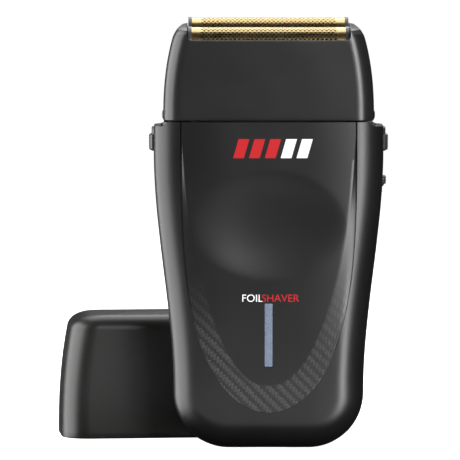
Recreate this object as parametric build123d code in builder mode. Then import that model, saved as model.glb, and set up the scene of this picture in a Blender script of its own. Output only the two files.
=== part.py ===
"""Double-foil shaver with its travel cap: a two-shell handle, a drive chassis and a lift-off foil head.

Millimetres, +Z up, the front of the shaver faces -Y. The origin is the centre of the flat base.
"""

import os
from math import cos, radians, sin

from build123d import *

os.makedirs("parts", exist_ok=True)

# ---- Driving dimensions ---------------------------------------------------------------------
# Handle shells
body_height = 107.0
body_depth = 32.0
body_half_width = 37.5
foot_half_width = 31.1
foot_radius = 18.0
waist_half_width = 33.0
waist_height = 47.0
shoulder_drop = 10.0
edge_round = 9.0
wall = 2.2
parting_y = 5.5
dish_half_width = 23.7
dish_half_height = 17.0
dish_depth = 1.1
dish_drop = 34.2

# Housing screws and their bosses
screw_radius = 1.1
screw_head_radius = 2.2
screw_head_height = 1.4
boss_radius = 2.9
thread_clearance = 0.03
foot_screw_inset = 7.1
foot_screw_height = 20.0
shoulder_screw_inset = 10.5
shoulder_screw_drop = 30.0

# Small machine screws inside
small_screw_radius = 0.8
small_screw_hole = 0.9
small_head_radius = 1.5
small_head_height = 0.9
small_counterbore_radius = 1.65
driver_slot_length = 2.0
driver_slot_width = 0.4
motor_screw_x = 7.5
frame_screw_radius = 1.0
frame_screw_head = 1.9
board_post_radius = 2.0
frame_post_radius = 2.4
root_overlap = 0.5

# Side controls
control_y = -1.5
control_gap = 0.25
flange_thickness = 1.2
flange_lip = 0.6
release_width = 11.0
release_height = 8.4
release_drop = 5.5
release_proud = 1.7
release_press = 1.5
slider_width = 7.0
slider_height = 5.6
slider_drop = 20.8
slider_proud = 1.5
slider_travel = 3.0

# Indicator, board and cell
indicator_width = 2.7
indicator_length = 20.7
indicator_corner = 0.4
indicator_drop = 59.0
board_half_width = 14.0
board_thickness = 1.2
board_gap = 2.4
board_depth_room = 7.7
saddle_height = 1.7
saddle_thickness = 2.0
cell_floor = 11.5
cell_gap = 1.5
cell_end_round = 0.6
tab_width = 3.0
tab_thickness = 0.3
lead_radius = 0.45
lead_play = 0.05
lead_bend = 1.2

# Charging socket
socket_nose_radius = 3.4
socket_bore_radius = 2.85
socket_bore_depth = 8.5
socket_wall = 1.15
socket_pin_radius = 1.05
socket_pin_recess = 1.2
socket_tail_radius = 0.8

# Drive chassis
deck_thickness = 3.8
deck_recess = 0.2
deck_gap = 0.2
collar_height = 4.4
frame_drop = 13.0
frame_thickness = 2.0
motor_length = 27.0
motor_side_gap = 1.8
can_wall = 0.9
end_bell_height = 3.0
can_round = 0.8
terminal_width = 1.6
terminal_thickness = 0.4
front_bush_radius = 3.0
rear_bush_radius = 2.6
magnet_thickness = 1.9
winding_radius = 1.7
winding_inset = 2.4
commutator_radius = 2.4
shaft_radius = 1.0
running_gap = 0.05
stroke = 1.2
hub_radius = 3.4
hub_height = 2.8
eccentric_pin_radius = 1.0
bridge_thickness = 3.0
bridge_drop = 1.5
bridge_width = 11.0
pillar_radius = 2.2
frame_tab_size = 6.0
frame_tab_thickness = 2.0
deck_counterbore = 1.0
gasket_width = 0.6
gasket_height = 1.2
rod_lug_radius = 1.9
rod_lug_length = 2.4
rod_radius = 1.0
rod_inset = 7.3

# Head, foils and cutters
head_gap = 0.3
head_inset = 3.1
head_height = 31.6
head_corner = 6.0
ear_slope = 2.2
ear_width = 7.8
head_wall = 1.7
front_rim_height = 26.2
rear_rim_height = 29.0
cheek_height = 26.5
cheek_lean = 2.9
cheek_middle_height = 14.0
cheek_middle_lean = 0.6
crown_inset = 8.2
foil_pitch = 13.5
foil_radius = 5.2
foil_thickness = 0.15
foil_skirt = 4.0
front_foil_height = 25.2
rear_foil_height = 28.0
end_plate = 1.2
end_plate_rise = 0.25
rail_height = 2.5
rail_width = 0.6
foil_float = 1.5
cutter_gap = 0.2
blade_thickness = 0.6
blade_pitch = 1.5
blade_slot = 0.9
post_radius = 1.6
post_foot_radius = 2.4
slide_gap = 0.3
foil_spring_radius = 1.25
foil_spring_wire = 0.22
cutter_spring_radius = 2.15
cutter_spring_wire = 0.28
key_spring_radius = 1.1
key_spring_wire = 0.2
retainer_screw_inset = 1.9
rib_pitch = 1.2
rib_cut_depth = 0.5
rib_cut_width = 0.45

# Travel cap, standing open end down behind the handle
cap_height = 41.5
cap_wall = 1.8
cap_side_taper = 4.3
cap_corner = 6.5
cap_top_round = 5.0
cap_x = -32.5
cap_yaw = 6.0
cap_stand_off = 0.8

# ---- Derived places -------------------------------------------------------------------------
half_depth = body_depth / 2
inner_half_depth = half_depth - wall
inner_half_width = body_half_width - wall
shoulder_z = body_height - shoulder_drop
deck_top = body_height - deck_recess
deck_bottom = deck_top - deck_thickness
frame_top = body_height - frame_drop
frame_bottom = frame_top - frame_thickness
motor_radius = inner_half_depth - motor_side_gap
can_bottom = frame_bottom - motor_length
motor_bottom = can_bottom - end_bell_height
bridge_top = deck_bottom - bridge_drop
bridge_bottom = bridge_top - bridge_thickness
rod_z = (bridge_top + bridge_bottom) / 2
release_z = body_height - release_drop
slider_z = body_height - slider_drop
dish_z = body_height - dish_drop
indicator_top = body_height - indicator_drop
indicator_z = indicator_top - indicator_length / 2
cell_top = motor_bottom - cell_gap
cell_radius = (2 * inner_half_depth - board_depth_room - saddle_height) / 2
cell_y = inner_half_depth - saddle_height - cell_radius
board_y = -inner_half_depth + board_gap
terminal_x = 4.0
terminal_y = cell_y - cell_radius - 0.9
board_rear_y = board_y + board_thickness
board_top = motor_bottom - 6
board_bottom = indicator_top - indicator_length - 4

head_bottom = body_height + head_gap
head_top = head_bottom + head_height
head_half_width = body_half_width - head_inset
bay_half_length = head_half_width - ear_width
bay_half_depth = foil_pitch / 2 + foil_radius + 0.75
head_half_depth = bay_half_depth + head_wall
foil_half_length = bay_half_length - slide_gap - end_plate
cutter_half_length = foil_half_length - stroke - slide_gap
cutter_radius = foil_radius - foil_thickness - cutter_gap
retainer_top = head_bottom + 6.7
retainer_thickness = 2.0
post_shoulder = retainer_top - 1
spring_x = bay_half_length + 2.4
lug_half_width = 1.4
lug_length = 4.4
lug_height = 2.0
flange_x = inner_half_width - control_gap - flange_thickness
slider_flange_width = slider_width + 2 * (control_gap + flange_lip)
slider_flange_height = slider_height + 2 * slider_travel + 2 * flange_lip
hook_x = flange_x - release_press - 0.5
hook_thickness = 1.3

foot_screws = foot_half_width - foot_screw_inset
shoulder_screws = body_half_width - shoulder_screw_inset
screw_places = [
    (foot_screws, foot_screw_height),
    (-foot_screws, foot_screw_height),
    (shoulder_screws, body_height - shoulder_screw_drop),
    (-shoulder_screws, body_height - shoulder_screw_drop),
]
screw_seat_y = half_depth - screw_head_height - 0.6
screw_tip_y = -6.0
board_screw_x = board_half_width - 3
board_screw_places = [(x, z) for x in (-board_screw_x, board_screw_x) for z in (board_bottom + 3, board_top - 3)]
frame_screw_x = motor_radius + 6
frame_screw_z = frame_bottom - 5
frame_screws = [(-frame_screw_x, frame_screw_z), (frame_screw_x, frame_screw_z)]
frame_tab_y = -inner_half_depth + 4.8
post_places = [(0, -foil_pitch / 2), (0, foil_pitch / 2)]
slot_half_length = post_foot_radius + stroke + slide_gap
slot_half_width = post_foot_radius + slide_gap
collar_half_length = bay_half_length - 1.6
collar_half_depth = foil_pitch / 2 + slot_half_width + 1.2
rod_y = foil_pitch / 2 + 3.9
notch_inner = hook_x - hook_thickness - slide_gap
pillar_x = collar_half_length + 2.3
pillar_y = 8.8
rod_half_length = pillar_x - rod_inset
pillar_gap = flange_x - release_press - 0.45 - pillar_x - 2.2
pillars = [(x, y) for x in (-pillar_x, pillar_x) for y in (-pillar_y, pillar_y)]


def write(piece, node):
    """Label a finished piece and write its STEP file."""
    piece.part.label = node
    export_step(piece.part, f"parts/{node}.step")


def body_outline(inset):
    """Front view of the handle, drawn this far inside its skin."""
    with BuildSketch() as outline:
        with BuildLine():
            foot = CenterArc((foot_half_width - foot_radius, foot_radius), foot_radius - inset, -90, 90)
            waist = (waist_half_width - inset, waist_height)
            shoulder = (body_half_width - inset, shoulder_z)
            flank = Spline(foot @ 1, waist, shoulder, tangents=((0, 1), (0, 1)))
            rise = Line(flank @ 1, (body_half_width - inset, body_height))
            Line(rise @ 1, (0, body_height))
            Line((0, inset), foot @ 0)
            mirror(about=Plane.YZ)
        make_face()
    return outline.sketch


def arch(radius, thickness, skirt):
    """Cross-section of a half tube with straight skirts, its axis at the origin."""
    inner = radius - thickness
    with BuildSketch() as section:
        with BuildLine():
            Line((-radius, -skirt), (-radius, 0))
            ThreePointArc((-radius, 0), (0, radius), (radius, 0))
            Polyline((radius, 0), (radius, -skirt), (inner, -skirt), (inner, 0))
            ThreePointArc((inner, 0), (0, inner), (-inner, 0))
            Polyline((-inner, 0), (-inner, -skirt), (-radius, -skirt))
        make_face()
    return section.sketch


def coil(radius, wire, bottom, top, turns):
    """A compression spring standing on the XY plane's origin, its wire ends just inside both seats."""
    height = top - bottom - 2 * wire - 0.1
    with BuildPart() as spring:
        with BuildLine():
            path = Helix(pitch=height / turns, height=height, radius=radius, center=(0, 0, bottom + wire + 0.05))
        with BuildSketch(Plane(origin=path @ 0, z_dir=path % 0)):
            Circle(wire)
        sweep(is_frenet=True)
    return spring.part


def lead(points, bends):
    """An insulated wire along straight runs joined by arcs."""
    with BuildPart() as wire:
        with BuildLine():
            path = FilletPolyline(*points, radius=bends)
        with BuildSketch(Plane(origin=path @ 0, z_dir=path % 0)):
            Circle(lead_radius)
        sweep()
    return wire.part


# ---- Handle shells --------------------------------------------------------------------------
with BuildPart() as body_blank:
    with BuildSketch(Plane.XZ.offset(-half_depth)):
        add(body_outline(0))
    extrude(amount=body_depth)
    rims = body_blank.faces().filter_by(Axis.Y).edges().filter_by_position(Axis.Z, -1, body_height - 0.1)
    fillet(rims, radius=edge_round)

with BuildPart() as body_cavity:
    with BuildSketch(Plane.XZ.offset(-inner_half_depth)):
        add(body_outline(wall))
    extrude(amount=2 * inner_half_depth)
    rims = body_cavity.faces().filter_by(Axis.Y).edges().filter_by_position(Axis.Z, -1, body_height - 0.1)
    fillet(rims, radius=edge_round - wall)

with BuildPart() as thumb_dish:
    Sphere(radius=1)
    scale(by=(dish_half_width, 2 * dish_depth, dish_half_height))

# Front shell: the deep tub that carries the window, the side controls and every screw boss
with BuildPart() as front_housing:
    add(body_blank.part)
    add(body_cavity.part, mode=Mode.SUBTRACT)
    split(bisect_by=Plane.XZ.offset(-parting_y), keep=Keep.TOP)
    with BuildSketch(Plane.XZ.offset(-parting_y)):
        with Locations(*screw_places):
            Circle(boss_radius)
    extrude(amount=parting_y + inner_half_depth + root_overlap)
    with BuildSketch(Plane.XZ.offset(-parting_y)):
        with Locations(*screw_places):
            Circle(screw_radius + thread_clearance)
    extrude(amount=parting_y - screw_tip_y + 0.5, mode=Mode.SUBTRACT)
    with BuildSketch(Plane.XZ.offset(-board_y)):
        with Locations(*board_screw_places):
            Circle(board_post_radius)
    extrude(amount=board_gap + root_overlap)
    with BuildSketch(Plane.XZ.offset(-board_y)):
        with Locations(*board_screw_places):
            Circle(small_screw_radius + thread_clearance)
    extrude(amount=board_gap, mode=Mode.SUBTRACT)
    with BuildSketch(Plane.XZ.offset(-frame_tab_y)):
        with Locations(*frame_screws):
            Circle(frame_post_radius)
    extrude(amount=inner_half_depth + frame_tab_y + root_overlap)
    with BuildSketch(Plane.XZ.offset(-frame_tab_y)):
        with Locations(*frame_screws):
            Circle(frame_screw_radius + thread_clearance)
    extrude(amount=inner_half_depth + frame_tab_y - 0.3, mode=Mode.SUBTRACT)
    with BuildSketch(Plane.XZ.offset(inner_half_depth - 1)):
        with Locations((0, indicator_z)):
            RectangleRounded(indicator_width + 0.1, indicator_length + 0.1, indicator_corner)
    extrude(amount=wall + 2, mode=Mode.SUBTRACT)
    with BuildSketch(Plane.YZ.offset(inner_half_width - 3)):
        with Locations((control_y, release_z)):
            RectangleRounded(release_width + 2 * control_gap, release_height + 2 * control_gap, 1.4)
    extrude(amount=wall + 4, mode=Mode.SUBTRACT)
    with BuildSketch(Plane.YZ.offset(-inner_half_width + 3)):
        with Locations((control_y, release_z)):
            RectangleRounded(release_width + 2 * control_gap, release_height + 2 * control_gap, 1.4)
    extrude(amount=-wall - 4, mode=Mode.SUBTRACT)
    with BuildSketch(Plane.YZ.offset(inner_half_width - 4)):
        with Locations((control_y, slider_z + slider_travel / 2)):
            slot_height = slider_height + slider_travel + 2 * control_gap
            RectangleRounded(slider_width + 2 * control_gap, slot_height, 1.2)
    extrude(amount=wall + 5, mode=Mode.SUBTRACT)
    # Flat track inside the side wall for the slider's flange
    with BuildSketch(Plane.YZ.offset(inner_half_width - 4)):
        with Locations((control_y, slider_z + slider_travel / 2)):
            track_height = slider_flange_height + slider_travel + 2 * control_gap
            Rectangle(slider_flange_width + 2 * control_gap, track_height)
    extrude(amount=flange_x + flange_thickness + control_gap - inner_half_width + 4, mode=Mode.SUBTRACT)
    with BuildSketch(Plane.XY):
        Circle(socket_nose_radius + 0.05)
    extrude(amount=wall + 1, mode=Mode.SUBTRACT)
    add(thumb_dish.part.moved(Location((0, -half_depth - dish_depth, dish_z))), mode=Mode.SUBTRACT)
write(front_housing, "front_housing")

# Rear shell: the shallow cover, with counterbored screw bosses and two saddles for the cell
with BuildPart() as rear_housing:
    add(body_blank.part)
    add(body_cavity.part, mode=Mode.SUBTRACT)
    split(bisect_by=Plane.XZ.offset(-parting_y), keep=Keep.BOTTOM)
    with BuildSketch(Plane.XZ.offset(-parting_y)):
        with Locations(*screw_places):
            Circle(boss_radius)
    extrude(amount=-(inner_half_depth + root_overlap - parting_y))
    with BuildSketch(Plane.XZ.offset(-parting_y)):
        with Locations(*screw_places):
            Circle(screw_radius + thread_clearance)
    extrude(amount=-body_depth, mode=Mode.SUBTRACT)
    with BuildSketch(Plane.XZ.offset(-screw_seat_y)):
        with Locations(*screw_places):
            Circle(screw_head_radius + 0.2)
    extrude(amount=-body_depth, mode=Mode.SUBTRACT)
    for saddle_z in (cell_floor + 8, cell_top - 8):
        with BuildSketch(Plane.XY.offset(saddle_z)):
            with Locations((0, inner_half_depth - 1.5)):
                Rectangle(2 * cell_radius - 2, 4)
            with Locations((0, cell_y)):
                Circle(cell_radius + 0.1, mode=Mode.SUBTRACT)
        extrude(amount=saddle_thickness)
write(rear_housing, "rear_housing")

# Four long screws from the back
with BuildPart() as housing_screws:
    with BuildSketch(Plane.XZ.offset(-screw_seat_y)):
        with Locations(*screw_places):
            Circle(screw_radius)
    extrude(amount=screw_seat_y - screw_tip_y)
    with BuildSketch(Plane.XZ.offset(-screw_seat_y)):
        with Locations(*screw_places):
            Circle(screw_head_radius)
            RegularPolygon(radius=1.0, side_count=6, mode=Mode.SUBTRACT)
    extrude(amount=-screw_head_height)
    with BuildSketch(Plane.XZ.offset(-screw_seat_y)):
        with Locations(*screw_places):
            Circle(1.2)
    extrude(amount=-0.6)
write(housing_screws, "housing_screws")

# ---- Indicator, board and cell --------------------------------------------------------------
# The light pipe is dropped in from inside and stops on its flange
with BuildPart() as indicator_lens:
    with BuildSketch(Plane.XZ.offset(inner_half_depth)):
        with Locations((0, indicator_z)):
            RectangleRounded(indicator_width, indicator_length, indicator_corner)
    extrude(amount=wall)
    with BuildSketch(Plane.XZ.offset(inner_half_depth - 0.8)):
        with Locations((0, indicator_z)):
            RectangleRounded(indicator_width + 2, indicator_length + 2, indicator_corner)
    extrude(amount=0.8)
write(indicator_lens, "indicator_lens")

with BuildPart() as circuit_board:
    with BuildSketch(Plane.XZ.offset(-board_y)):
        with Locations((0, (board_top + board_bottom) / 2)):
            RectangleRounded(2 * board_half_width, board_top - board_bottom, 1.5)
        with Locations(*board_screw_places):
            Circle(small_screw_hole, mode=Mode.SUBTRACT)
    extrude(amount=-board_thickness)
write(circuit_board, "circuit_board")

with BuildPart() as board_screws:
    with BuildSketch(Plane.XZ.offset(-board_rear_y)):
        with Locations(*board_screw_places):
            Circle(small_screw_radius)
    extrude(amount=board_thickness + board_gap - 0.2)
    with BuildSketch(Plane.XZ.offset(-board_rear_y)):
        with Locations(*board_screw_places):
            Circle(small_head_radius)
    extrude(amount=-1.0)
write(board_screws, "board_screws")

chip_z = (board_top + board_bottom) / 2
with BuildPart() as board_chips:
    with BuildSketch(Plane.XZ.offset(-board_rear_y)):
        with Locations((0, chip_z + 7)):
            Rectangle(6, 6)
        with Locations((-2, chip_z - 3)):
            Rectangle(5, 4)
        with Locations((4.5, chip_z - 9)):
            Rectangle(3.2, 2.6)
    extrude(amount=-1.4)
write(board_chips, "board_chips")

led_pitch = indicator_length / 4
with BuildPart() as indicator_leds:
    with BuildSketch(Plane.XZ.offset(-board_y)):
        with Locations((0, indicator_z)):
            with GridLocations(0, led_pitch, 1, 4):
                Rectangle(1.6, 1.2)
    extrude(amount=1.0)
write(indicator_leds, "indicator_leds")

with BuildPart() as battery_cell:
    with BuildSketch(Plane.XY.offset(cell_floor)):
        with Locations((0, cell_y)):
            Circle(cell_radius)
    extrude(amount=cell_top - cell_floor - cell_end_round)
    ends = battery_cell.edges().filter_by(GeomType.CIRCLE)
    fillet(ends, radius=cell_end_round)
    with BuildSketch(Plane.XY.offset(cell_top - cell_end_round)):
        with Locations((0, cell_y)):
            Circle(cell_radius * 0.35)
    extrude(amount=cell_end_round)
write(battery_cell, "battery_cell")

tab_x = -6.0
tab_front_y = cell_y - cell_radius - 0.5
with BuildPart() as battery_tabs:
    with BuildSketch(Plane.XY.offset(cell_floor - tab_thickness)):
        with Locations((tab_x / 2, cell_y)):
            Rectangle(-tab_x + tab_width, tab_width)
        with Locations((tab_x, (cell_y + tab_front_y) / 2)):
            Rectangle(tab_width, cell_y - tab_front_y)
    extrude(amount=tab_thickness)
    with BuildSketch(Plane.XY.offset(cell_top)):
        with Locations((tab_x / 2, cell_y)):
            Rectangle(-tab_x + tab_width, tab_width)
        with Locations((tab_x, (cell_y + tab_front_y) / 2)):
            Rectangle(tab_width, cell_y - tab_front_y)
    extrude(amount=tab_thickness)
write(battery_tabs, "battery_tabs")

# ---- Charging socket ------------------------------------------------------------------------
socket_top = socket_bore_depth + 1.7
with BuildPart() as charge_socket:
    with BuildSketch(Plane.XY.offset(0.2)):
        Circle(socket_nose_radius)
    extrude(amount=wall - 0.2)
    with BuildSketch(Plane.XY.offset(wall)):
        Circle(socket_bore_radius + socket_wall + 0.8)
    extrude(amount=1.2)
    with BuildSketch(Plane.XY.offset(wall)):
        Circle(socket_bore_radius + socket_wall)
    extrude(amount=socket_top - wall)
    with BuildSketch(Plane.XY.offset(0.2)):
        Circle(socket_bore_radius)
    extrude(amount=socket_bore_depth - 0.2, mode=Mode.SUBTRACT)
    with BuildSketch(Plane.XY.offset(socket_bore_depth)):
        Circle(socket_tail_radius)
    extrude(amount=socket_top, mode=Mode.SUBTRACT)
write(charge_socket, "charge_socket")

with BuildPart() as charge_socket_pin:
    with BuildSketch(Plane.XY.offset(socket_pin_recess)):
        Circle(socket_pin_radius)
    extrude(amount=socket_bore_depth - socket_pin_recess)
    tip = charge_socket_pin.faces().sort_by(Axis.Z)[0].edges()
    chamfer(tip, length=0.3)
    with BuildSketch(Plane.XY.offset(socket_bore_depth)):
        Circle(socket_tail_radius)
    extrude(amount=socket_top - socket_bore_depth + 0.4)
write(charge_socket_pin, "charge_socket_pin")

# ---- Motor ----------------------------------------------------------------------------------
# Drawn steel can with a turned-in top
with BuildPart() as motor_can:
    with BuildSketch(Plane.XY.offset(can_bottom)):
        Circle(motor_radius)
    extrude(amount=motor_length)
    fillet(motor_can.faces().sort_by(Axis.Z)[-1].edges(), radius=can_round)
    with BuildSketch(Plane.XY.offset(can_bottom)):
        Circle(motor_radius - can_wall)
    extrude(amount=motor_length - 1.2, mode=Mode.SUBTRACT)
    with BuildSketch(Plane.XY.offset(can_bottom)):
        Circle(front_bush_radius)
        with Locations((-motor_screw_x, 0), (motor_screw_x, 0)):
            Circle(small_screw_radius + thread_clearance)
    extrude(amount=motor_length + 1, mode=Mode.SUBTRACT)
write(motor_can, "motor_can")

with BuildPart() as motor_end_bell:
    with BuildSketch(Plane.XY.offset(motor_bottom)):
        Circle(motor_radius)
        Circle(rear_bush_radius, mode=Mode.SUBTRACT)
        with Locations((-terminal_x, terminal_y), (terminal_x, terminal_y)):
            Rectangle(terminal_width + 0.1, terminal_thickness + 0.1, mode=Mode.SUBTRACT)
    extrude(amount=end_bell_height)
    with BuildSketch(Plane.XY.offset(can_bottom)):
        Circle(motor_radius - can_wall - 0.05)
        Circle(motor_radius - can_wall - 1.0, mode=Mode.SUBTRACT)
    extrude(amount=1.0)
write(motor_end_bell, "motor_end_bell")

with BuildPart() as motor_terminals:
    with BuildSketch(Plane.XY.offset(motor_bottom - 2)):
        with Locations((-terminal_x, terminal_y), (terminal_x, terminal_y)):
            Rectangle(terminal_width, terminal_thickness)
    extrude(amount=4.5)
write(motor_terminals, "motor_terminals")

with BuildPart() as motor_front_bush:
    with BuildSketch(Plane.XY.offset(frame_bottom - 2.4)):
        Circle(front_bush_radius)
        Circle(shaft_radius + running_gap, mode=Mode.SUBTRACT)
    extrude(amount=3.6)
write(motor_front_bush, "motor_front_bush")

with BuildPart() as motor_rear_bush:
    with BuildSketch(Plane.XY.offset(motor_bottom)):
        Circle(rear_bush_radius)
        Circle(shaft_radius + running_gap, mode=Mode.SUBTRACT)
    extrude(amount=end_bell_height)
write(motor_rear_bush, "motor_rear_bush")

magnet_bottom = can_bottom + 4
magnet_top = frame_bottom - 5
magnet_outer = motor_radius - can_wall - 0.05
magnet_inner = magnet_outer - magnet_thickness
with BuildPart() as field_magnets:
    with BuildSketch(Plane.XY.offset(magnet_bottom)):
        Circle(magnet_outer)
        Circle(magnet_inner, mode=Mode.SUBTRACT)
        Rectangle(2 * magnet_outer, 4, mode=Mode.SUBTRACT)
    extrude(amount=magnet_top - magnet_bottom)
write(field_magnets, "field_magnets")

with BuildPart() as motor_screws:
    with BuildSketch(Plane.XY.offset(frame_bottom - 1.2)):
        with Locations((-motor_screw_x, 0), (motor_screw_x, 0)):
            Circle(small_screw_radius)
    extrude(amount=frame_thickness + 1.2)
    with BuildSketch(Plane.XY.offset(frame_top)):
        with Locations((-motor_screw_x, 0), (motor_screw_x, 0)):
            Circle(small_head_radius)
            SlotOverall(driver_slot_length, driver_slot_width, mode=Mode.SUBTRACT)
    extrude(amount=small_head_height)
write(motor_screws, "motor_screws")

# ---- Rotor ----------------------------------------------------------------------------------
hub_bottom = frame_top + 1.2
hub_top = hub_bottom + hub_height
with BuildPart() as motor_shaft:
    with BuildSketch(Plane.XY.offset(motor_bottom - 0.6)):
        Circle(shaft_radius)
    extrude(amount=hub_top - motor_bottom + 0.6)
write(motor_shaft, "motor_shaft")

core_radius = magnet_inner - 0.4
with BuildPart() as armature_core:
    with BuildSketch(Plane.XY.offset(magnet_bottom + 2)):
        Circle(core_radius)
        with PolarLocations(core_radius - winding_inset, 3):
            Circle(winding_radius + 0.2, mode=Mode.SUBTRACT)
        with PolarLocations(core_radius, 3):
            Rectangle(4, 1.2, mode=Mode.SUBTRACT)
        Circle(shaft_radius, mode=Mode.SUBTRACT)
    extrude(amount=magnet_top - magnet_bottom - 4)
write(armature_core, "armature_core")

with BuildPart() as armature_windings:
    with BuildSketch(Plane.XY.offset(magnet_bottom + 1)):
        with PolarLocations(core_radius - winding_inset, 3):
            Circle(winding_radius)
    extrude(amount=magnet_top - magnet_bottom - 2)
write(armature_windings, "armature_windings")

with BuildPart() as commutator:
    with BuildSketch(Plane.XY.offset(can_bottom + 0.6)):
        Circle(commutator_radius)
        with PolarLocations(commutator_radius, 3):
            Rectangle(1.6, 0.3, mode=Mode.SUBTRACT)
        Circle(shaft_radius, mode=Mode.SUBTRACT)
    extrude(amount=3.6)
write(commutator, "commutator")

with BuildPart() as eccentric_hub:
    with BuildSketch(Plane.XY.offset(hub_bottom)):
        Circle(hub_radius)
        Circle(shaft_radius, mode=Mode.SUBTRACT)
    extrude(amount=hub_height)
    with BuildSketch(Plane.XY.offset(hub_top)):
        Circle(hub_radius)
    extrude(amount=0.5)
    chamfer(eccentric_hub.faces().sort_by(Axis.Z)[0].edges().sort_by(SortBy.RADIUS)[-1:], length=0.3)
write(eccentric_hub, "eccentric_hub")

with BuildPart() as eccentric_pin:
    with BuildSketch(Plane.XY.offset(hub_top + 0.5)):
        with Locations((0, stroke)):
            Circle(eccentric_pin_radius)
    extrude(amount=bridge_top - hub_top - 0.8)
write(eccentric_pin, "eccentric_pin")

# ---- Drive chassis --------------------------------------------------------------------------
# Moulded frame: motor plate, four pillars for the deck, two screw tabs and an arm for the switch
switch_arm_x = flange_x - 6.8
with BuildPart() as motor_frame:
    with BuildSketch(Plane.XY.offset(frame_bottom)):
        RectangleRounded(2 * (pillar_x + 2.9), 2 * (pillar_y + 2.4), 2.2)
        Circle(front_bush_radius + 0.02, mode=Mode.SUBTRACT)
        with Locations((-motor_screw_x, 0), (motor_screw_x, 0)):
            Circle(small_screw_hole, mode=Mode.SUBTRACT)
    extrude(amount=frame_thickness)
    with BuildSketch(Plane.XY.offset(frame_top)):
        with Locations(*pillars):
            Circle(pillar_radius)
            Circle(small_screw_radius + thread_clearance, mode=Mode.SUBTRACT)
    extrude(amount=deck_bottom - frame_top)
    with BuildSketch(Plane.XZ.offset(-frame_tab_y)):
        with Locations(*frame_screws):
            Rectangle(frame_tab_size, frame_tab_size)
        with Locations((-frame_screw_x, frame_screw_z + 4), (frame_screw_x, frame_screw_z + 4)):
            Rectangle(frame_tab_size, 2.5)
        with Locations(*frame_screws):
            Circle(frame_screw_radius + 0.1, mode=Mode.SUBTRACT)
    extrude(amount=-frame_tab_thickness)
    with BuildSketch(Plane.XY.offset(frame_bottom)):
        with Locations((switch_arm_x, control_y)):
            Rectangle(1.4, 9)
    extrude(amount=-10)
write(motor_frame, "motor_frame")

with BuildPart() as motor_frame_screws:
    with BuildSketch(Plane.XZ.offset(-frame_tab_y - frame_tab_thickness)):
        with Locations(*frame_screws):
            Circle(frame_screw_radius)
    extrude(amount=frame_tab_thickness + inner_half_depth + frame_tab_y - 0.5)
    with BuildSketch(Plane.XZ.offset(-frame_tab_y - frame_tab_thickness)):
        with Locations(*frame_screws):
            Circle(frame_screw_head)
    extrude(amount=-1.3)
write(motor_frame_screws, "motor_frame_screws")

# Deck: closes the top of the handle, guides the head on its collar and carries the guide rods
with BuildPart() as top_deck:
    with BuildSketch(Plane.XY.offset(deck_bottom)):
        outline_round = edge_round - wall - deck_gap
        RectangleRounded(2 * (inner_half_width - deck_gap), 2 * (inner_half_depth - deck_gap), outline_round)
        for side in (-1, 1):
            with Locations((side * (notch_inner + 5), control_y)):
                Rectangle(10, release_width + 2 * flange_lip + 1.2, mode=Mode.SUBTRACT)
    extrude(amount=deck_thickness)
    with BuildSketch(Plane.XY.offset(deck_top)):
        RectangleRounded(2 * collar_half_length, 2 * collar_half_depth, 3)
        RectangleRounded(2 * collar_half_length - 3, 2 * collar_half_depth - 3, 2, mode=Mode.SUBTRACT)
    extrude(amount=collar_height)
    with BuildSketch(Plane.YZ.offset(-rod_half_length)):
        with Locations((-rod_y, rod_z), (rod_y, rod_z)):
            Circle(rod_lug_radius)
        with Locations((-rod_y, deck_bottom - 1), (rod_y, deck_bottom - 1)):
            Rectangle(2 * rod_lug_radius, 3)
        with Locations((-rod_y, rod_z), (rod_y, rod_z)):
            Circle(rod_radius + thread_clearance, mode=Mode.SUBTRACT)
    extrude(amount=rod_lug_length)
    mirror(about=Plane.YZ)
    with BuildSketch(Plane.XY.offset(deck_bottom)):
        with Locations(*post_places):
            SlotOverall(2 * slot_half_length, 2 * slot_half_width)
        with Locations(*pillars):
            Circle(small_screw_hole)
    extrude(amount=deck_thickness, mode=Mode.SUBTRACT)
    with BuildSketch(Plane.XY.offset(deck_top - deck_counterbore)):
        with Locations(*pillars):
            Circle(small_counterbore_radius)
    extrude(amount=deck_counterbore, mode=Mode.SUBTRACT)
write(top_deck, "top_deck")

with BuildPart() as deck_screws:
    with BuildSketch(Plane.XY.offset(deck_bottom - 5)):
        with Locations(*pillars):
            Circle(small_screw_radius)
    extrude(amount=5 + deck_thickness - deck_counterbore)
    with BuildSketch(Plane.XY.offset(deck_top - deck_counterbore)):
        with Locations(*pillars):
            Circle(small_head_radius)
            SlotOverall(driver_slot_length, driver_slot_width, mode=Mode.SUBTRACT)
    extrude(amount=small_head_height)
write(deck_screws, "deck_screws")

with BuildPart() as deck_gasket:
    with BuildSketch(Plane.XY.offset(deck_top + gasket_height)):
        band = 2 * gasket_width
        RectangleRounded(2 * collar_half_length + band, 2 * collar_half_depth + band, 3 + gasket_width)
        RectangleRounded(2 * collar_half_length, 2 * collar_half_depth, 3, mode=Mode.SUBTRACT)
    extrude(amount=gasket_height)
write(deck_gasket, "deck_gasket")

with BuildPart() as guide_rods:
    with BuildSketch(Plane.YZ.offset(-rod_half_length)):
        with Locations((-rod_y, rod_z), (rod_y, rod_z)):
            Circle(rod_radius)
    extrude(amount=2 * rod_half_length)
write(guide_rods, "guide_rods")

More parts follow.
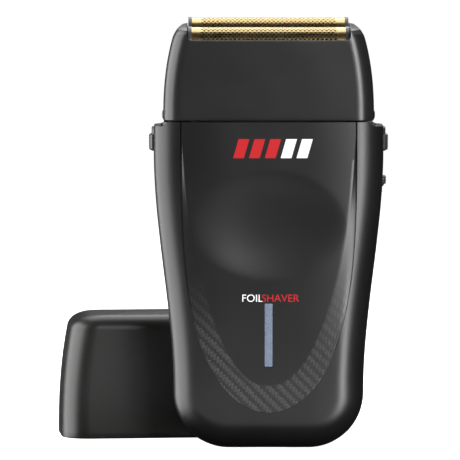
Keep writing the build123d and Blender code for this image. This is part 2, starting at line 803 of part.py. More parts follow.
# ---- Oscillator -----------------------------------------------------------------------------
# Moulded bridge: a yoke hole round the eccentric pin and two long bushes on the guide rods
yoke_half_length = 2 * stroke + eccentric_pin_radius + slide_gap
yoke_half_width = stroke + eccentric_pin_radius + slide_gap
with BuildPart() as oscillator_bridge:
    with BuildSketch(Plane.XY.offset(bridge_bottom)):
        Rectangle(bridge_width, 2 * rod_y)
        SlotOverall(2 * yoke_half_length, 2 * yoke_half_width, mode=Mode.SUBTRACT)
    extrude(amount=bridge_thickness)
    with BuildSketch(Plane.YZ.offset(-bridge_width / 2)):
        with Locations((-rod_y, rod_z), (rod_y, rod_z)):
            Circle(bridge_thickness / 2 + 0.3)
    extrude(amount=bridge_width)
    with BuildSketch(Plane.YZ.offset(-bridge_width / 2)):
        with Locations((-rod_y, rod_z), (rod_y, rod_z)):
            Circle(rod_radius + running_gap)
    extrude(amount=bridge_width, mode=Mode.SUBTRACT)
write(oscillator_bridge, "oscillator_bridge")

# ---- Foils, cutters and their springs, front and rear ---------------------------------------
rows = {
    "front": (-foil_pitch / 2, head_bottom + front_foil_height),
    "rear": (foil_pitch / 2, head_bottom + rear_foil_height),
}
rail_drop = foil_skirt + rail_height
carrier_drop = rail_drop + 2.0
blade_skirt = 3.0
bore_top_drop = 2.0
post_top_drop = bore_top_drop + foil_float + slide_gap

with BuildPart() as drive_posts:
    for row_y, foil_z in rows.values():
        with BuildSketch(Plane.XY.offset(bridge_top)):
            with Locations((0, row_y)):
                Circle(post_foot_radius)
        extrude(amount=post_shoulder - bridge_top)
        with BuildSketch(Plane.XY.offset(post_shoulder)):
            with Locations((0, row_y)):
                Circle(post_radius)
        extrude(amount=foil_z - post_top_drop - post_shoulder)
write(drive_posts, "drive_posts")

for row, (row_y, foil_z) in rows.items():
    axis_plane = Plane.YZ.offset(-foil_half_length)
    # Foil: a thin arch with straight skirts, standing on the frame's rails
    with BuildPart() as foil_sheet:
        with BuildSketch(axis_plane):
            add(arch(foil_radius, foil_thickness, foil_skirt).moved(Location((row_y, foil_z))))
        extrude(amount=2 * foil_half_length)
    write(foil_sheet, f"foil_sheet_{row}")

    # Frame: two end plates, two rails and a spring lug at each end
    with BuildPart() as foil_frame:
        plate_radius = foil_radius + end_plate_rise
        with BuildSketch(axis_plane):
            with Locations((row_y, foil_z)):
                Circle(plate_radius)
            with Locations((row_y, foil_z - rail_drop / 2)):
                Rectangle(2 * plate_radius, rail_drop)
        extrude(amount=-end_plate)
        with BuildSketch(axis_plane):
            with Locations((row_y, foil_z - rail_drop + lug_height / 2)):
                Rectangle(2 * lug_half_width, lug_height)
        extrude(amount=-end_plate - lug_length)
        mirror(about=Plane.YZ)
        with BuildSketch(axis_plane):
            for side in (-1, 1):
                rail_y = row_y + side * (foil_radius - foil_thickness + rail_width / 2)
                with Locations((rail_y, foil_z - foil_skirt - rail_height / 2)):
                    Rectangle(rail_width, rail_height)
        extrude(amount=2 * foil_half_length)
    write(foil_frame, f"foil_frame_{row}")

    with BuildPart() as foil_springs:
        seat = foil_z - rail_drop
        foil_coil = coil(foil_spring_radius, foil_spring_wire, retainer_top, seat, (seat - retainer_top) / 1.5)
        for side in (-1, 1):
            add(foil_coil.moved(Location((side * spring_x, row_y, 0))))
    write(foil_springs, f"foil_springs_{row}")

    # Cutter: a slotted half tube of steel on a moulded carrier
    with BuildPart() as cutter_blades:
        with BuildSketch(Plane.YZ.offset(-cutter_half_length)):
            add(arch(cutter_radius, blade_thickness, blade_skirt).moved(Location((row_y, foil_z))))
        extrude(amount=2 * cutter_half_length)
        slot_count = int((2 * cutter_half_length - 2) / blade_pitch)
        with BuildSketch(Plane.XY.offset(foil_z)):
            with Locations((0, row_y)):
                with GridLocations(blade_pitch, 0, slot_count, 1):
                    Rectangle(blade_slot, 2 * foil_radius)
        extrude(amount=foil_radius, mode=Mode.SUBTRACT)
    write(cutter_blades, f"cutter_blades_{row}")

    with BuildPart() as cutter_carrier:
        with BuildSketch(Plane.XY.offset(foil_z - carrier_drop)):
            with Locations((0, row_y)):
                Rectangle(2 * cutter_half_length - 1, 2 * cutter_radius)
        extrude(amount=carrier_drop - blade_skirt)
        with BuildSketch(Plane.XY.offset(foil_z - blade_skirt)):
            with Locations((0, row_y)):
                Rectangle(2 * cutter_half_length - 3, 2 * (cutter_radius - blade_thickness) - 0.1)
        extrude(amount=blade_skirt - 1)
        with BuildSketch(Plane.XY.offset(foil_z - carrier_drop)):
            with Locations((0, row_y)):
                Circle(post_radius + running_gap)
        extrude(amount=carrier_drop - bore_top_drop, mode=Mode.SUBTRACT)
    write(cutter_carrier, f"cutter_carrier_{row}")

    with BuildPart() as cutter_spring:
        seat = foil_z - carrier_drop
        cutter_coil = coil(cutter_spring_radius, cutter_spring_wire, post_shoulder, seat, (seat - post_shoulder) / 2.0)
        add(cutter_coil.moved(Location((0, row_y, 0))))
    write(cutter_spring, f"cutter_spring_{row}")

# ---- Head -----------------------------------------------------------------------------------
# One moulding: a rounded sleeve with a cut-out over the foils that leaves an ear at each end
with BuildPart() as head_shell:
    with BuildSketch(Plane.XZ.offset(-head_half_depth)):
        with BuildLine():
            base = Line((0, head_bottom), (head_half_width, head_bottom))
            cheek = Spline(
                base @ 1,
                (head_half_width - cheek_middle_lean, head_bottom + cheek_middle_height),
                (head_half_width - cheek_lean, head_bottom + cheek_height),
                tangents=((0, 1), (-0.3, 1)),
            )
            crown = Line((0, head_top), (head_half_width - crown_inset, head_top))
            brow = Spline(cheek @ 1, crown @ 1, tangents=(cheek % 1, (-1, 0)))
            mirror(about=Plane.YZ)
        make_face()
    extrude(amount=2 * head_half_depth)
    with BuildSketch(Plane.XY.offset(head_bottom)):
        RectangleRounded(2 * head_half_width, 2 * head_half_depth, head_corner)
    extrude(amount=head_height, mode=Mode.INTERSECT)
    # The ears lean back: their tops rise from the front to the rear
    with BuildSketch(Plane.YZ.offset(-head_half_width)):
        with BuildLine():
            Polyline(
                (-head_half_depth - 1, head_top - ear_slope),
                (head_half_depth, head_top),
                (head_half_depth + 1, head_top + 5),
                (-head_half_depth - 1, head_top + 5),
                close=True,
            )
        make_face()
    extrude(amount=2 * head_half_width, mode=Mode.SUBTRACT)
    with BuildSketch(Plane.XY.offset(head_bottom)):
        Rectangle(2 * bay_half_length, 2 * bay_half_depth)
    extrude(amount=head_height, mode=Mode.SUBTRACT)
    # Sight cut between the ears, sloping up from the front rim to the rear rim
    with BuildSketch(Plane.YZ.offset(-bay_half_length)):
        with BuildLine():
            Polyline(
                (-head_half_depth - 1, head_bottom + front_rim_height),
                (head_half_depth + 1, head_bottom + rear_rim_height),
                (head_half_depth + 1, head_top + 5),
                (-head_half_depth - 1, head_top + 5),
                close=True,
            )
        make_face()
    extrude(amount=2 * bay_half_length, mode=Mode.SUBTRACT)
    # Pockets under the ears: one for each retainer, and one for each spring and lug
    pocket_outer = hook_x + 0.1
    for side in (-1, 1):
        with BuildSketch(Plane.XY.offset(head_bottom)):
            with Locations((side * (bay_half_length + pocket_outer) / 2, 0)):
                Rectangle(pocket_outer - bay_half_length + 0.4, 2 * bay_half_depth - 4)
        extrude(amount=retainer_top - head_bottom, mode=Mode.SUBTRACT)
        for row_y, foil_z in rows.values():
            lug_top = foil_z - rail_drop + lug_height
            with BuildSketch(Plane.XY.offset(head_bottom + 1)):
                with Locations((side * (bay_half_length + lug_length / 2), row_y)):
                    Rectangle(lug_length + 0.2, 2 * lug_half_width + 2 * slide_gap)
            extrude(amount=lug_top + 0.2 - head_bottom - 1, mode=Mode.SUBTRACT)
        with BuildSketch(Plane.XY.offset(retainer_top)):
            with Locations((side * (bay_half_length + retainer_screw_inset), 0)):
                Circle(small_screw_radius + thread_clearance)
        extrude(amount=7, mode=Mode.SUBTRACT)
write(head_shell, "head_shell")

# Retainers: a plate under each ear that holds the springs, with the latch hook hanging from it
retainer_bottom = retainer_top - retainer_thickness
hook_half_width = 3.5
with BuildPart() as foil_retainers:
    with BuildSketch(Plane.XY.offset(retainer_bottom)):
        with Locations(((bay_half_length + 0.3 + hook_x) / 2, 0)):
            Rectangle(hook_x - bay_half_length - 0.3, 2 * bay_half_depth - 4.4)
        with Locations((bay_half_length + retainer_screw_inset, 0)):
            Circle(small_screw_hole, mode=Mode.SUBTRACT)
    extrude(amount=retainer_thickness)
    with BuildSketch(Plane.XZ.offset(-hook_half_width)):
        with BuildLine():
            Polyline(
                (hook_x - hook_thickness, retainer_bottom),
                (hook_x, retainer_bottom),
                (hook_x, deck_bottom - 3.4),
                (hook_x - 0.8, deck_bottom - 3.8),
                (hook_x - hook_thickness, deck_bottom - 3.0),
                close=True,
            )
        make_face()
    extrude(amount=2 * hook_half_width)
    mirror(about=Plane.YZ)
write(foil_retainers, "foil_retainers")

retainer_screw_x = bay_half_length + retainer_screw_inset
with BuildPart() as retainer_screws:
    with BuildSketch(Plane.XY.offset(retainer_bottom)):
        with Locations((-retainer_screw_x, 0), (retainer_screw_x, 0)):
            Circle(small_screw_radius)
    extrude(amount=retainer_thickness + 6)
    with BuildSketch(Plane.XY.offset(retainer_bottom - 1.2)):
        with Locations((-retainer_screw_x, 0), (retainer_screw_x, 0)):
            Circle(1.4)
            SlotOverall(driver_slot_length, driver_slot_width, mode=Mode.SUBTRACT)
    extrude(amount=1.2)
write(retainer_screws, "retainer_screws")

# ---- Release buttons ------------------------------------------------------------------------
# A ribbed key through the side wall, stopped by its flange
with BuildPart() as release_key:
    with BuildSketch(Plane.YZ.offset(flange_x)):
        with Locations((control_y, release_z)):
            lip = 2 * (control_gap + flange_lip)
            RectangleRounded(release_width + lip, release_height + lip - 1.0, 1.6)
    extrude(amount=flange_thickness)
    with BuildSketch(Plane.YZ.offset(flange_x + flange_thickness)):
        with Locations((control_y, release_z)):
            RectangleRounded(release_width, release_height, 1.2)
    extrude(amount=body_half_width + release_proud - flange_x - flange_thickness)
    face = release_key.faces().sort_by(Axis.X)[-1]
    fillet(face.edges(), radius=0.9)
    with BuildSketch(Plane.XZ.offset(-control_y - release_width)):
        with Locations((body_half_width + release_proud, release_z)):
            with GridLocations(0, rib_pitch, 1, 5):
                Rectangle(rib_cut_depth, rib_cut_width)
    extrude(amount=2 * release_width, mode=Mode.SUBTRACT)

with BuildPart() as release_button_right:
    add(release_key.part)
write(release_button_right, "release_button_right")

with BuildPart() as release_button_left:
    mirror(release_key.part, about=Plane.YZ)
write(release_button_left, "release_button_left")

# Return springs, seated on the flanges beside the latch hooks; their far ends face the front pillars
with BuildPart() as key_spring:
    key_coil = coil(key_spring_radius, key_spring_wire, 0, pillar_gap, 2)
    add(key_coil.moved(Location((flange_x, -pillar_y + 2.6, release_z - 1.2), (0, -90, 0))))

with BuildPart() as release_spring_right:
    add(key_spring.part)
write(release_spring_right, "release_spring_right")

with BuildPart() as release_spring_left:
    mirror(key_spring.part, about=Plane.YZ)
write(release_spring_left, "release_spring_left")

# ---- Power slider and switch ----------------------------------------------------------------
with BuildPart() as power_slider:
    with BuildSketch(Plane.YZ.offset(flange_x)):
        with Locations((control_y, slider_z)):
            RectangleRounded(slider_flange_width, slider_flange_height, 1.0)
    extrude(amount=flange_thickness)
    with BuildSketch(Plane.YZ.offset(flange_x + flange_thickness)):
        with Locations((control_y, slider_z)):
            RectangleRounded(slider_width, slider_height, 1.0)
    extrude(amount=body_half_width + slider_proud - flange_x - flange_thickness)
    face = power_slider.faces().sort_by(Axis.X)[-1]
    fillet(face.edges(), radius=0.8)
    with BuildSketch(Plane.XZ.offset(-control_y - slider_width)):
        with Locations((body_half_width + slider_proud, slider_z)):
            with GridLocations(0, rib_pitch, 1, 3):
                Rectangle(rib_cut_depth, rib_cut_width)
    extrude(amount=2 * slider_width, mode=Mode.SUBTRACT)
write(power_slider, "power_slider")

switch_front = switch_arm_x + 0.7
switch_depth = 4.0
actuator_height = 1.6
switch_height = actuator_height + slider_travel + 3.6
switch_z = slider_z + slider_travel / 2
with BuildPart() as slide_switch:
    with BuildSketch(Plane.YZ.offset(switch_front)):
        with Locations((control_y, switch_z)):
            Rectangle(6, switch_height)
    extrude(amount=switch_depth)
    with BuildSketch(Plane.YZ.offset(switch_front + 1.6)):
        with Locations((control_y, switch_z)):
            Rectangle(2.6, actuator_height + slider_travel + 2 * slide_gap)
    extrude(amount=switch_depth, mode=Mode.SUBTRACT)
write(slide_switch, "slide_switch")

with BuildPart() as switch_actuator:
    with BuildSketch(Plane.YZ.offset(switch_front + 1.9)):
        with Locations((control_y, slider_z)):
            Rectangle(2.0, actuator_height)
    extrude(amount=flange_x - switch_front - 1.9)
write(switch_actuator, "switch_actuator")

# ---- Leads ----------------------------------------------------------------------------------
lead_y = board_rear_y + lead_radius + lead_play
tab_y = tab_front_y - lead_radius - lead_play
with BuildPart() as motor_leads:
    for side in (-1, 1):
        terminal = (side * terminal_x, terminal_y - terminal_thickness / 2 - lead_radius - lead_play)
        route = [
            (side * 5.5, lead_y, board_top - 8),
            (side * 5.5, lead_y, board_top - 1),
            (*terminal, board_top + 2),
            (*terminal, motor_bottom - 0.3),
        ]
        add(lead(route, lead_bend))
write(motor_leads, "motor_leads")

with BuildPart() as battery_leads:
    lower_route = [
        (tab_x, lead_y, board_bottom + 8),
        (tab_x, lead_y, cell_floor + 7),
        (tab_x, tab_y, cell_floor + 2),
        (tab_x, tab_y, cell_floor - 1.5),
    ]
    add(lead(lower_route, lead_bend))
    upper_route = [
        (tab_x - 1.7, lead_y, board_top - 8),
        (tab_x - 1.7, lead_y, board_top - 1),
        (tab_x - 1, tab_y, board_top + 2),
        (tab_x - 1, tab_y, cell_top + 0.8),
    ]
    add(lead(upper_route, lead_bend))
write(battery_leads, "battery_leads")

with BuildPart() as switch_leads:
    for gap in (-1.2, 1.2):
        pole = (switch_front + 3.3, control_y + gap)
        route = [
            (board_screw_x - 3 + gap / 2, lead_y, board_top - 10),
            (board_screw_x - 3 + gap / 2, lead_y, board_top),
            (*pole, switch_z - switch_height / 2 - 12),
            (*pole, switch_z - switch_height / 2),
        ]
        add(lead(route, 4.0))
write(switch_leads, "switch_leads")

# ---- Travel cap -----------------------------------------------------------------------------
yaw = radians(cap_yaw)
cap_y = half_depth + cap_stand_off + half_depth / cos(yaw) + 1.2
cap_origin = (cap_x, cap_y, 0)
cap_along = (cos(yaw), sin(yaw), 0)
cap_across = (sin(yaw), -cos(yaw), 0)
cap_front_plane = Plane(origin=cap_origin, x_dir=cap_along, z_dir=cap_across)
cap_plan_plane = Plane(origin=cap_origin, x_dir=cap_along, z_dir=(0, 0, 1))
cap_side_plane = Plane(origin=cap_origin, x_dir=(-sin(yaw), cos(yaw), 0), z_dir=cap_along)


def cap_form(inset):
    """The cap as a solid, this far inside its skin but open to the same rim."""
    rim = body_half_width - inset
    top = rim - cap_side_taper
    deep = half_depth - inset
    high = cap_height - inset
    with BuildPart() as form:
        with BuildSketch(cap_front_plane.offset(-deep)):
            with BuildLine():
                Line((0, 0), (rim, 0))
                flank = Line((rim, 0), (top, cap_height - cap_corner))
                crown = Line((0, high), (top - cap_corner, high))
                Spline(flank @ 1, crown @ 1, tangents=(flank % 1, (-1, 0)))
                mirror(about=Plane.YZ)
            make_face()
        extrude(amount=2 * deep)
        with BuildSketch(cap_plan_plane):
            RectangleRounded(2 * rim, 2 * deep, edge_round - inset)
        extrude(amount=high, mode=Mode.INTERSECT)
        with BuildSketch(cap_side_plane.offset(-rim)):
            with Locations((0, high / 2)):
                Rectangle(2 * deep, high)
            fillet(vertices().group_by(Axis.Y)[-1], radius=cap_top_round - inset)
        extrude(amount=2 * rim, mode=Mode.INTERSECT)
    return form.part


with BuildPart() as travel_cap:
    add(cap_form(0))
    add(cap_form(cap_wall), mode=Mode.SUBTRACT)
write(travel_cap, "travel_cap")
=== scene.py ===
"""A cordless foil shaver, standing on its base with its travel cap behind it."""

import math

import bmesh
import bpy
import numpy as np
from mathutils import Matrix, Vector


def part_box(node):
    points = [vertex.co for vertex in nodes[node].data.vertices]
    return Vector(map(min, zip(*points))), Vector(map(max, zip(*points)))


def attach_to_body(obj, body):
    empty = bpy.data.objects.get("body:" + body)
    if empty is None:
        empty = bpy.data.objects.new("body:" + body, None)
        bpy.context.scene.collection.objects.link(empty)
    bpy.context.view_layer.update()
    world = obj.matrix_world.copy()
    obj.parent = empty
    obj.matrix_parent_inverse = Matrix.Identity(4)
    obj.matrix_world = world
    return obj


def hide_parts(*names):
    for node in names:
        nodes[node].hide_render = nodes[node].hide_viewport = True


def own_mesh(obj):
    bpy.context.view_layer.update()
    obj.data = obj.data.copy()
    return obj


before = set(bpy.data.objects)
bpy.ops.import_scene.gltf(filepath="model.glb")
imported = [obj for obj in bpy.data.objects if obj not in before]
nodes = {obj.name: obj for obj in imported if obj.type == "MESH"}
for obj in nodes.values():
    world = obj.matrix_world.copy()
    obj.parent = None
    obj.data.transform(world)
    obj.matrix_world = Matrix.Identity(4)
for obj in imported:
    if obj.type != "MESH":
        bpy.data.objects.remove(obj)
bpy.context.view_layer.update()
MM = 0.001


# ---- Camera, floor and lights ---------------------------------------------------------------
# A bench top that sweeps up into a backdrop, seen with a long lens from a little above the handle.
# A large softbox stands left of the shaver, a narrow one right of it and a wide one hangs overhead; small
# ones lift the front, the floor and the back.
scene = bpy.context.scene
scene.view_settings.view_transform = "Standard"
scene.view_settings.look = "None"

VIEW_HEIGHT = 151.2 * MM
VIEW_DISTANCE = 1.45
VIEW_RISE = math.radians(4.0)
aim = Vector((-12.6 * MM, 0, 70.9 * MM))

camera_data = bpy.data.cameras.new("camera")
camera_data.sensor_width = 36
camera_data.lens = camera_data.sensor_width / (VIEW_HEIGHT / VIEW_DISTANCE)
camera_data.clip_start = 0.05
camera_data.clip_end = 20
camera = bpy.data.objects.new("camera", camera_data)
camera.location = aim + VIEW_DISTANCE * Vector((0, -math.cos(VIEW_RISE), math.sin(VIEW_RISE)))
camera.rotation_euler = (aim - camera.location).to_track_quat("-Z", "Y").to_euler()
scene.collection.objects.link(camera)
scene.camera = camera


class Signal:
    """A number inside a node tree. Arithmetic on it adds the Math nodes that work it out."""

    def __init__(self, wiring, socket):
        self.wiring = wiring
        self.socket = socket

    def __add__(self, other):
        return self.wiring.maths("ADD", self, other)

    def __sub__(self, other):
        return self.wiring.maths("SUBTRACT", self, other)

    def __rsub__(self, other):
        return self.wiring.maths("SUBTRACT", other, self)

    def __mul__(self, other):
        return self.wiring.maths("MULTIPLY", self, other)

    def __truediv__(self, other):
        return self.wiring.maths("DIVIDE", self, other)

    def __rtruediv__(self, other):
        return self.wiring.maths("DIVIDE", other, self)

    def __mod__(self, other):
        return self.wiring.maths("FLOORED_MODULO", self, other)

    def __lt__(self, other):
        return self.wiring.maths("LESS_THAN", self, other)

    def __gt__(self, other):
        return self.wiring.maths("GREATER_THAN", self, other)

    __radd__ = __add__
    __rmul__ = __mul__


class Wiring:
    """Builds nodes in one tree. Every node comes from node()."""

    def __init__(self, tree):
        self.tree = tree

    def feed(self, socket, value):
        if isinstance(value, Signal):
            self.tree.links.new(value.socket, socket)
        elif isinstance(value, tuple) and len(value) == 3 and socket.type == "RGBA":
            socket.default_value = (*value, 1)
        else:
            socket.default_value = value

    def node(self, kind, settings=None, output=0, **inputs):
        """Add a node with its settings, feed its inputs (by name, or i0, i1 by place), return an output."""
        made = self.tree.nodes.new(kind)
        for key, value in (settings or {}).items():
            setattr(made, key, value)
        for key, value in inputs.items():
            by_place = key[0] == "i" and key[1:].isdigit()
            self.feed(made.inputs[int(key[1:]) if by_place else key.replace("_", " ")], value)
        return Signal(self, made.outputs[output])

    def maths(self, operation, *values):
        inputs = {f"i{place}": value for place, value in enumerate(values)}
        return self.node("ShaderNodeMath", {"operation": operation}, **inputs)


class Finish(Wiring):
    """One surface finish: a material whose shader sockets are set or fed by name."""

    def __init__(self, name, colour, roughness, **sockets):
        self.material = bpy.data.materials.new(name)
        self.material.use_nodes = True
        super().__init__(self.material.node_tree)
        self.shader = self.tree.nodes["Principled BSDF"]
        self.set("Base Color", colour)
        self.set("Roughness", roughness)
        for socket, value in sockets.items():
            self.set(socket.replace("_", " "), value)

    def set(self, socket, value):
        self.feed(self.shader.inputs[socket], value)

    def place(self):
        """Object coordinates in millimetres: x, y, z and the vector itself."""
        here = self.node("ShaderNodeTexCoord", output="Object")
        scaled = self.node("ShaderNodeVectorMath", {"operation": "SCALE"}, i0=here, Scale=1 / MM)
        split = self.node("ShaderNodeSeparateXYZ", i0=scaled).socket.node
        return [Signal(self, out) for out in split.outputs] + [scaled]

    def stretched(self, where, x, y, z):
        """Coordinates scaled apart along each axis, for grain that runs one way."""
        return self.node("ShaderNodeVectorMath", {"operation": "MULTIPLY"}, i0=where, i1=(x, y, z))

    def noise(self, where, scale, detail=2.0, roughness=0.5):
        return self.node("ShaderNodeTexNoise", i0=where, Scale=scale, Detail=detail, Roughness=roughness)

    def blend(self, amount, low, high):
        """Mix two colours by a number."""
        return self.node("ShaderNodeMix", {"data_type": "RGBA"}, output=2, i0=amount, i6=low, i7=high)

    def bump(self, height, depth_mm, strength=1.0):
        raised = self.node("ShaderNodeBump", Strength=strength, Distance=depth_mm * MM, Height=height)
        self.set("Normal", raised)

    def wear(self, piece):
        """Put this finish on a piece and return the piece."""
        piece.data.materials.clear()
        piece.data.materials.append(self.material)
        return piece


def new_piece(name, verts, faces):
    """A mesh object made from vertices in millimetres."""
    data = bpy.data.meshes.new(name)
    data.from_pydata([tuple(c * MM for c in v) for v in verts], [], faces)
    data.update()
    piece = bpy.data.objects.new(name, data)
    scene.collection.objects.link(piece)
    return piece


bench_finish = Finish("bench_white", (0.9, 0.9, 0.9), 0.6)
bench_place = bench_finish.place()[3]
bench_finish.set("Roughness", bench_finish.noise(bench_place, 0.02) * 0.1 + 0.55)
bench_finish.set("Emission Color", (1, 1, 1))
bench_finish.set("Emission Strength", 1.0)
SWEEP = 600
SWEEP_STEPS = 12
BENCH_REACH = 2700
BACKDROP_TOP = 2800
bench_section = [(-BENCH_REACH, 0), (BENCH_REACH, 0)]
for step in range(1, SWEEP_STEPS + 1):
    turn = math.radians(90 * step / SWEEP_STEPS)
    bench_section.append((BENCH_REACH + SWEEP * math.sin(turn), SWEEP - SWEEP * math.cos(turn)))
bench_section.append((BENCH_REACH + SWEEP, BACKDROP_TOP))
bench_verts = [(side * BENCH_REACH, y, z) for y, z in bench_section for side in (-1, 1)]
bench_faces = [(2 * i, 2 * i + 1, 2 * i + 3, 2 * i + 2) for i in range(len(bench_section) - 1)]
bench = bench_finish.wear(new_piece("bench", bench_verts, bench_faces))
bench.data.shade_smooth()
bench.visible_glossy = False
bench.visible_diffuse = False

world = bpy.data.worlds.new("studio")
scene.world = world
world.use_nodes = True
ROOM_LIGHT = 0.015
background = world.node_tree.nodes["Background"]
background.inputs["Color"].default_value = (1, 1, 1, 1)
background.inputs["Strength"].default_value = ROOM_LIGHT


def softbox(name, place_mm, aim_mm, width_mm, height_mm, power):
    """A rectangular studio light aimed at a point."""
    data = bpy.data.lights.new(name, "AREA")
    data.shape = "RECTANGLE"
    data.size = width_mm * MM
    data.size_y = height_mm * MM
    data.energy = power
    lamp = bpy.data.objects.new(name, data)
    lamp.location = Vector(place_mm) * MM
    lamp.rotation_euler = ((Vector(aim_mm) - Vector(place_mm)) * MM).to_track_quat("-Z", "Y").to_euler()
    lamp.visible_camera = False
    scene.collection.objects.link(lamp)
    return lamp


softbox("left_softbox", (-580, 10, 120), (0, 0, 75), 760, 760, 9.5)
softbox("right_front_softbox", (390, -560, 120), (0, 0, 75), 210, 640, 5.5)
softbox("overhead_softbox", (0, 260, 640), (0, 0, 120), 620, 620, 3.4)
front_fill = softbox("front_fill", (-100, -900, 700), (0, 0, 60), 500, 400, 1.2)
front_fill.visible_glossy = False
softbox("front_key", (340, -900, 440), (0, 0, 75), 220, 180, 3.2)
softbox("floor_bounce", (0, -110, 2), (0, -110, 200), 240, 140, 0.12)
softbox("rear_fill", (160, 950, 760), (0, 0, 70), 600, 400, 2.2)

# ---- Handle shells --------------------------------------------------------------------------
# Two moulded ABS shells that meet behind the side keys: a deep front tub and a shallow back cover.
# The front carries a soft thumb dish and a raised panel, edged by a bevel that widens into a twill band.
front_low, front_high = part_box("front_housing")
BODY_TOP = front_high.z / MM
HALF_WIDTH = front_high.x / MM
HALF_DEPTH = -front_low.y / MM
PARTING_Y = front_high.y / MM
FOOT_HALF = 31.1
FOOT_RADIUS = 18.0
WAIST = np.array((33.0, 47.0))
SHOULDER = np.array((HALF_WIDTH, BODY_TOP - 10))
EDGE_ROUND = 9.0
SHELL_WALL = 2.2
PRINT_THICKNESS = 0.05


def cubic_weights(t):
    """How much of its start, lead, end and trail a smooth cubic holds at t."""
    return 2 * t**3 - 3 * t**2 + 1, t**3 - 2 * t**2 + t, 3 * t**2 - 2 * t**3, t**3 - t**2


def flank_points(count):
    """The handle's side from foot to shoulder: a smooth cubic through the waist, upright at both ends."""
    foot = np.array((FOOT_HALF, FOOT_RADIUS))
    low_run = np.linalg.norm(WAIST - foot)
    high_run = np.linalg.norm(SHOULDER - WAIST)
    upright = np.array((0.0, 1.0))
    pull = 3 * (high_run * (WAIST - foot) / low_run + low_run * (SHOULDER - WAIST) / high_run)
    waist_slope = (pull - upright * (high_run + low_run)) / (2 * (low_run + high_run))
    points = []
    for start, end, run, lead, trail in (
        (foot, WAIST, low_run, upright, waist_slope),
        (WAIST, SHOULDER, high_run, waist_slope, upright),
    ):
        for t in np.linspace(0, 1, count, endpoint=False):
            at_start, at_lead, at_end, at_trail = cubic_weights(t)
            points.append(at_start * start + at_lead * run * lead + at_end * end + at_trail * run * trail)
    return points


def handle_outline(count):
    """Half the front outline, bottom centre to top, as evenly spaced points with their outward normals."""
    path = [np.array((x, 0.0)) for x in np.linspace(0, FOOT_HALF - FOOT_RADIUS, 20, endpoint=False)]
    for turn in np.linspace(-math.pi / 2, 0, 60, endpoint=False):
        path.append(np.array((FOOT_HALF - FOOT_RADIUS + FOOT_RADIUS * math.cos(turn),
                              FOOT_RADIUS + FOOT_RADIUS * math.sin(turn))))
    path += flank_points(60)
    path += [np.array((HALF_WIDTH, z)) for z in np.linspace(SHOULDER[1], BODY_TOP, 12)]
    path = np.array(path)
    run = np.concatenate(([0], np.cumsum(np.linalg.norm(np.diff(path, axis=0), axis=1))))
    even = np.linspace(0, run[-1], count)
    points = np.stack([np.interp(even, run, path[:, i]) for i in (0, 1)], axis=1)
    along = np.gradient(points, axis=0)
    along /= np.linalg.norm(along, axis=1)[:, None]
    normals = np.stack([along[:, 1], -along[:, 0]], axis=1)
    normals[0] = (0, -1)
    return points, normals


BAND_FOOT = 12.3
BAND_HALF = 28.7
PANEL_FOOT = 20.8
PANEL_HALF = 28.35


def outer_edge(z):
    """Half-width of the bevel's outer edge at height z."""
    rise = np.clip((z - BAND_FOOT) / (BODY_TOP - BAND_FOOT), 0, 1)
    return np.where(z < BAND_FOOT, 0, BAND_HALF * np.sqrt(1 - (1 - rise) ** 3.4))


def inner_edge(z):
    """Half-width of the raised panel at height z."""
    rise = np.clip((z - PANEL_FOOT) / (BODY_TOP - PANEL_FOOT), 0, 1)
    return np.where(z < PANEL_FOOT, 0, PANEL_HALF * (1 - (1 - rise) ** 1.65) ** 0.45)


FOCUS = np.array((0.0, 47.0))


def along_ray(points, edge, edge_foot):
    """Where lines from the outline to the middle cross an edge curve, as a fraction out from the middle."""
    low = np.zeros(len(points))
    high = np.ones(len(points))
    level_with = np.stack([np.zeros(len(points)), points[:, 1]], axis=1)
    starts = np.where(points[:, 1:2] > FOCUS[1], level_with, FOCUS)
    for _ in range(40):
        middle = (low + high) / 2
        there = starts + middle[:, None] * (points - starts)
        inside = there[:, 0] < edge(there[:, 1])
        on_axis = (points[:, 0] < 1e-6) & (there[:, 1] > edge_foot)
        inside = inside | on_axis
        low = np.where(inside, middle, low)
        high = np.where(inside, high, middle)
    return starts, (low + high) / 2


OUTLINE_POINTS = 200
FINE_POINTS = 1600
DISH_CENTRE = np.array((0.0, 73.4))
DISH_REACH = np.array((25.4, 18.2))
DISH_DEPTH = 1.9
LINING_DISH = 0.6
SHOULDER_DROP = 1.5
DROP_FROM = 32.6
DROP_RUN = 2.4
BEVEL_DEPTH = 0.6
BEVEL_AT_FOOT = 0.30
BEVEL_GROWS_FROM = 25
BEVEL_GROWS_OVER = 60
LEAST_BEVEL = 0.012
EDGE_STEP = 0.003
FRONT_CROWN = 1.0
FLAT_HALF = 11.5
CROWN_RUN = 16.5


def dish(x, z):
    """Depth of the thumb dish, soft at its rim."""
    span = ((x - DISH_CENTRE[0]) / DISH_REACH[0]) ** 2 + ((z - DISH_CENTRE[1]) / DISH_REACH[1]) ** 2
    return DISH_DEPTH * np.clip(1 - span**1.15, 0, 1) ** 1.55


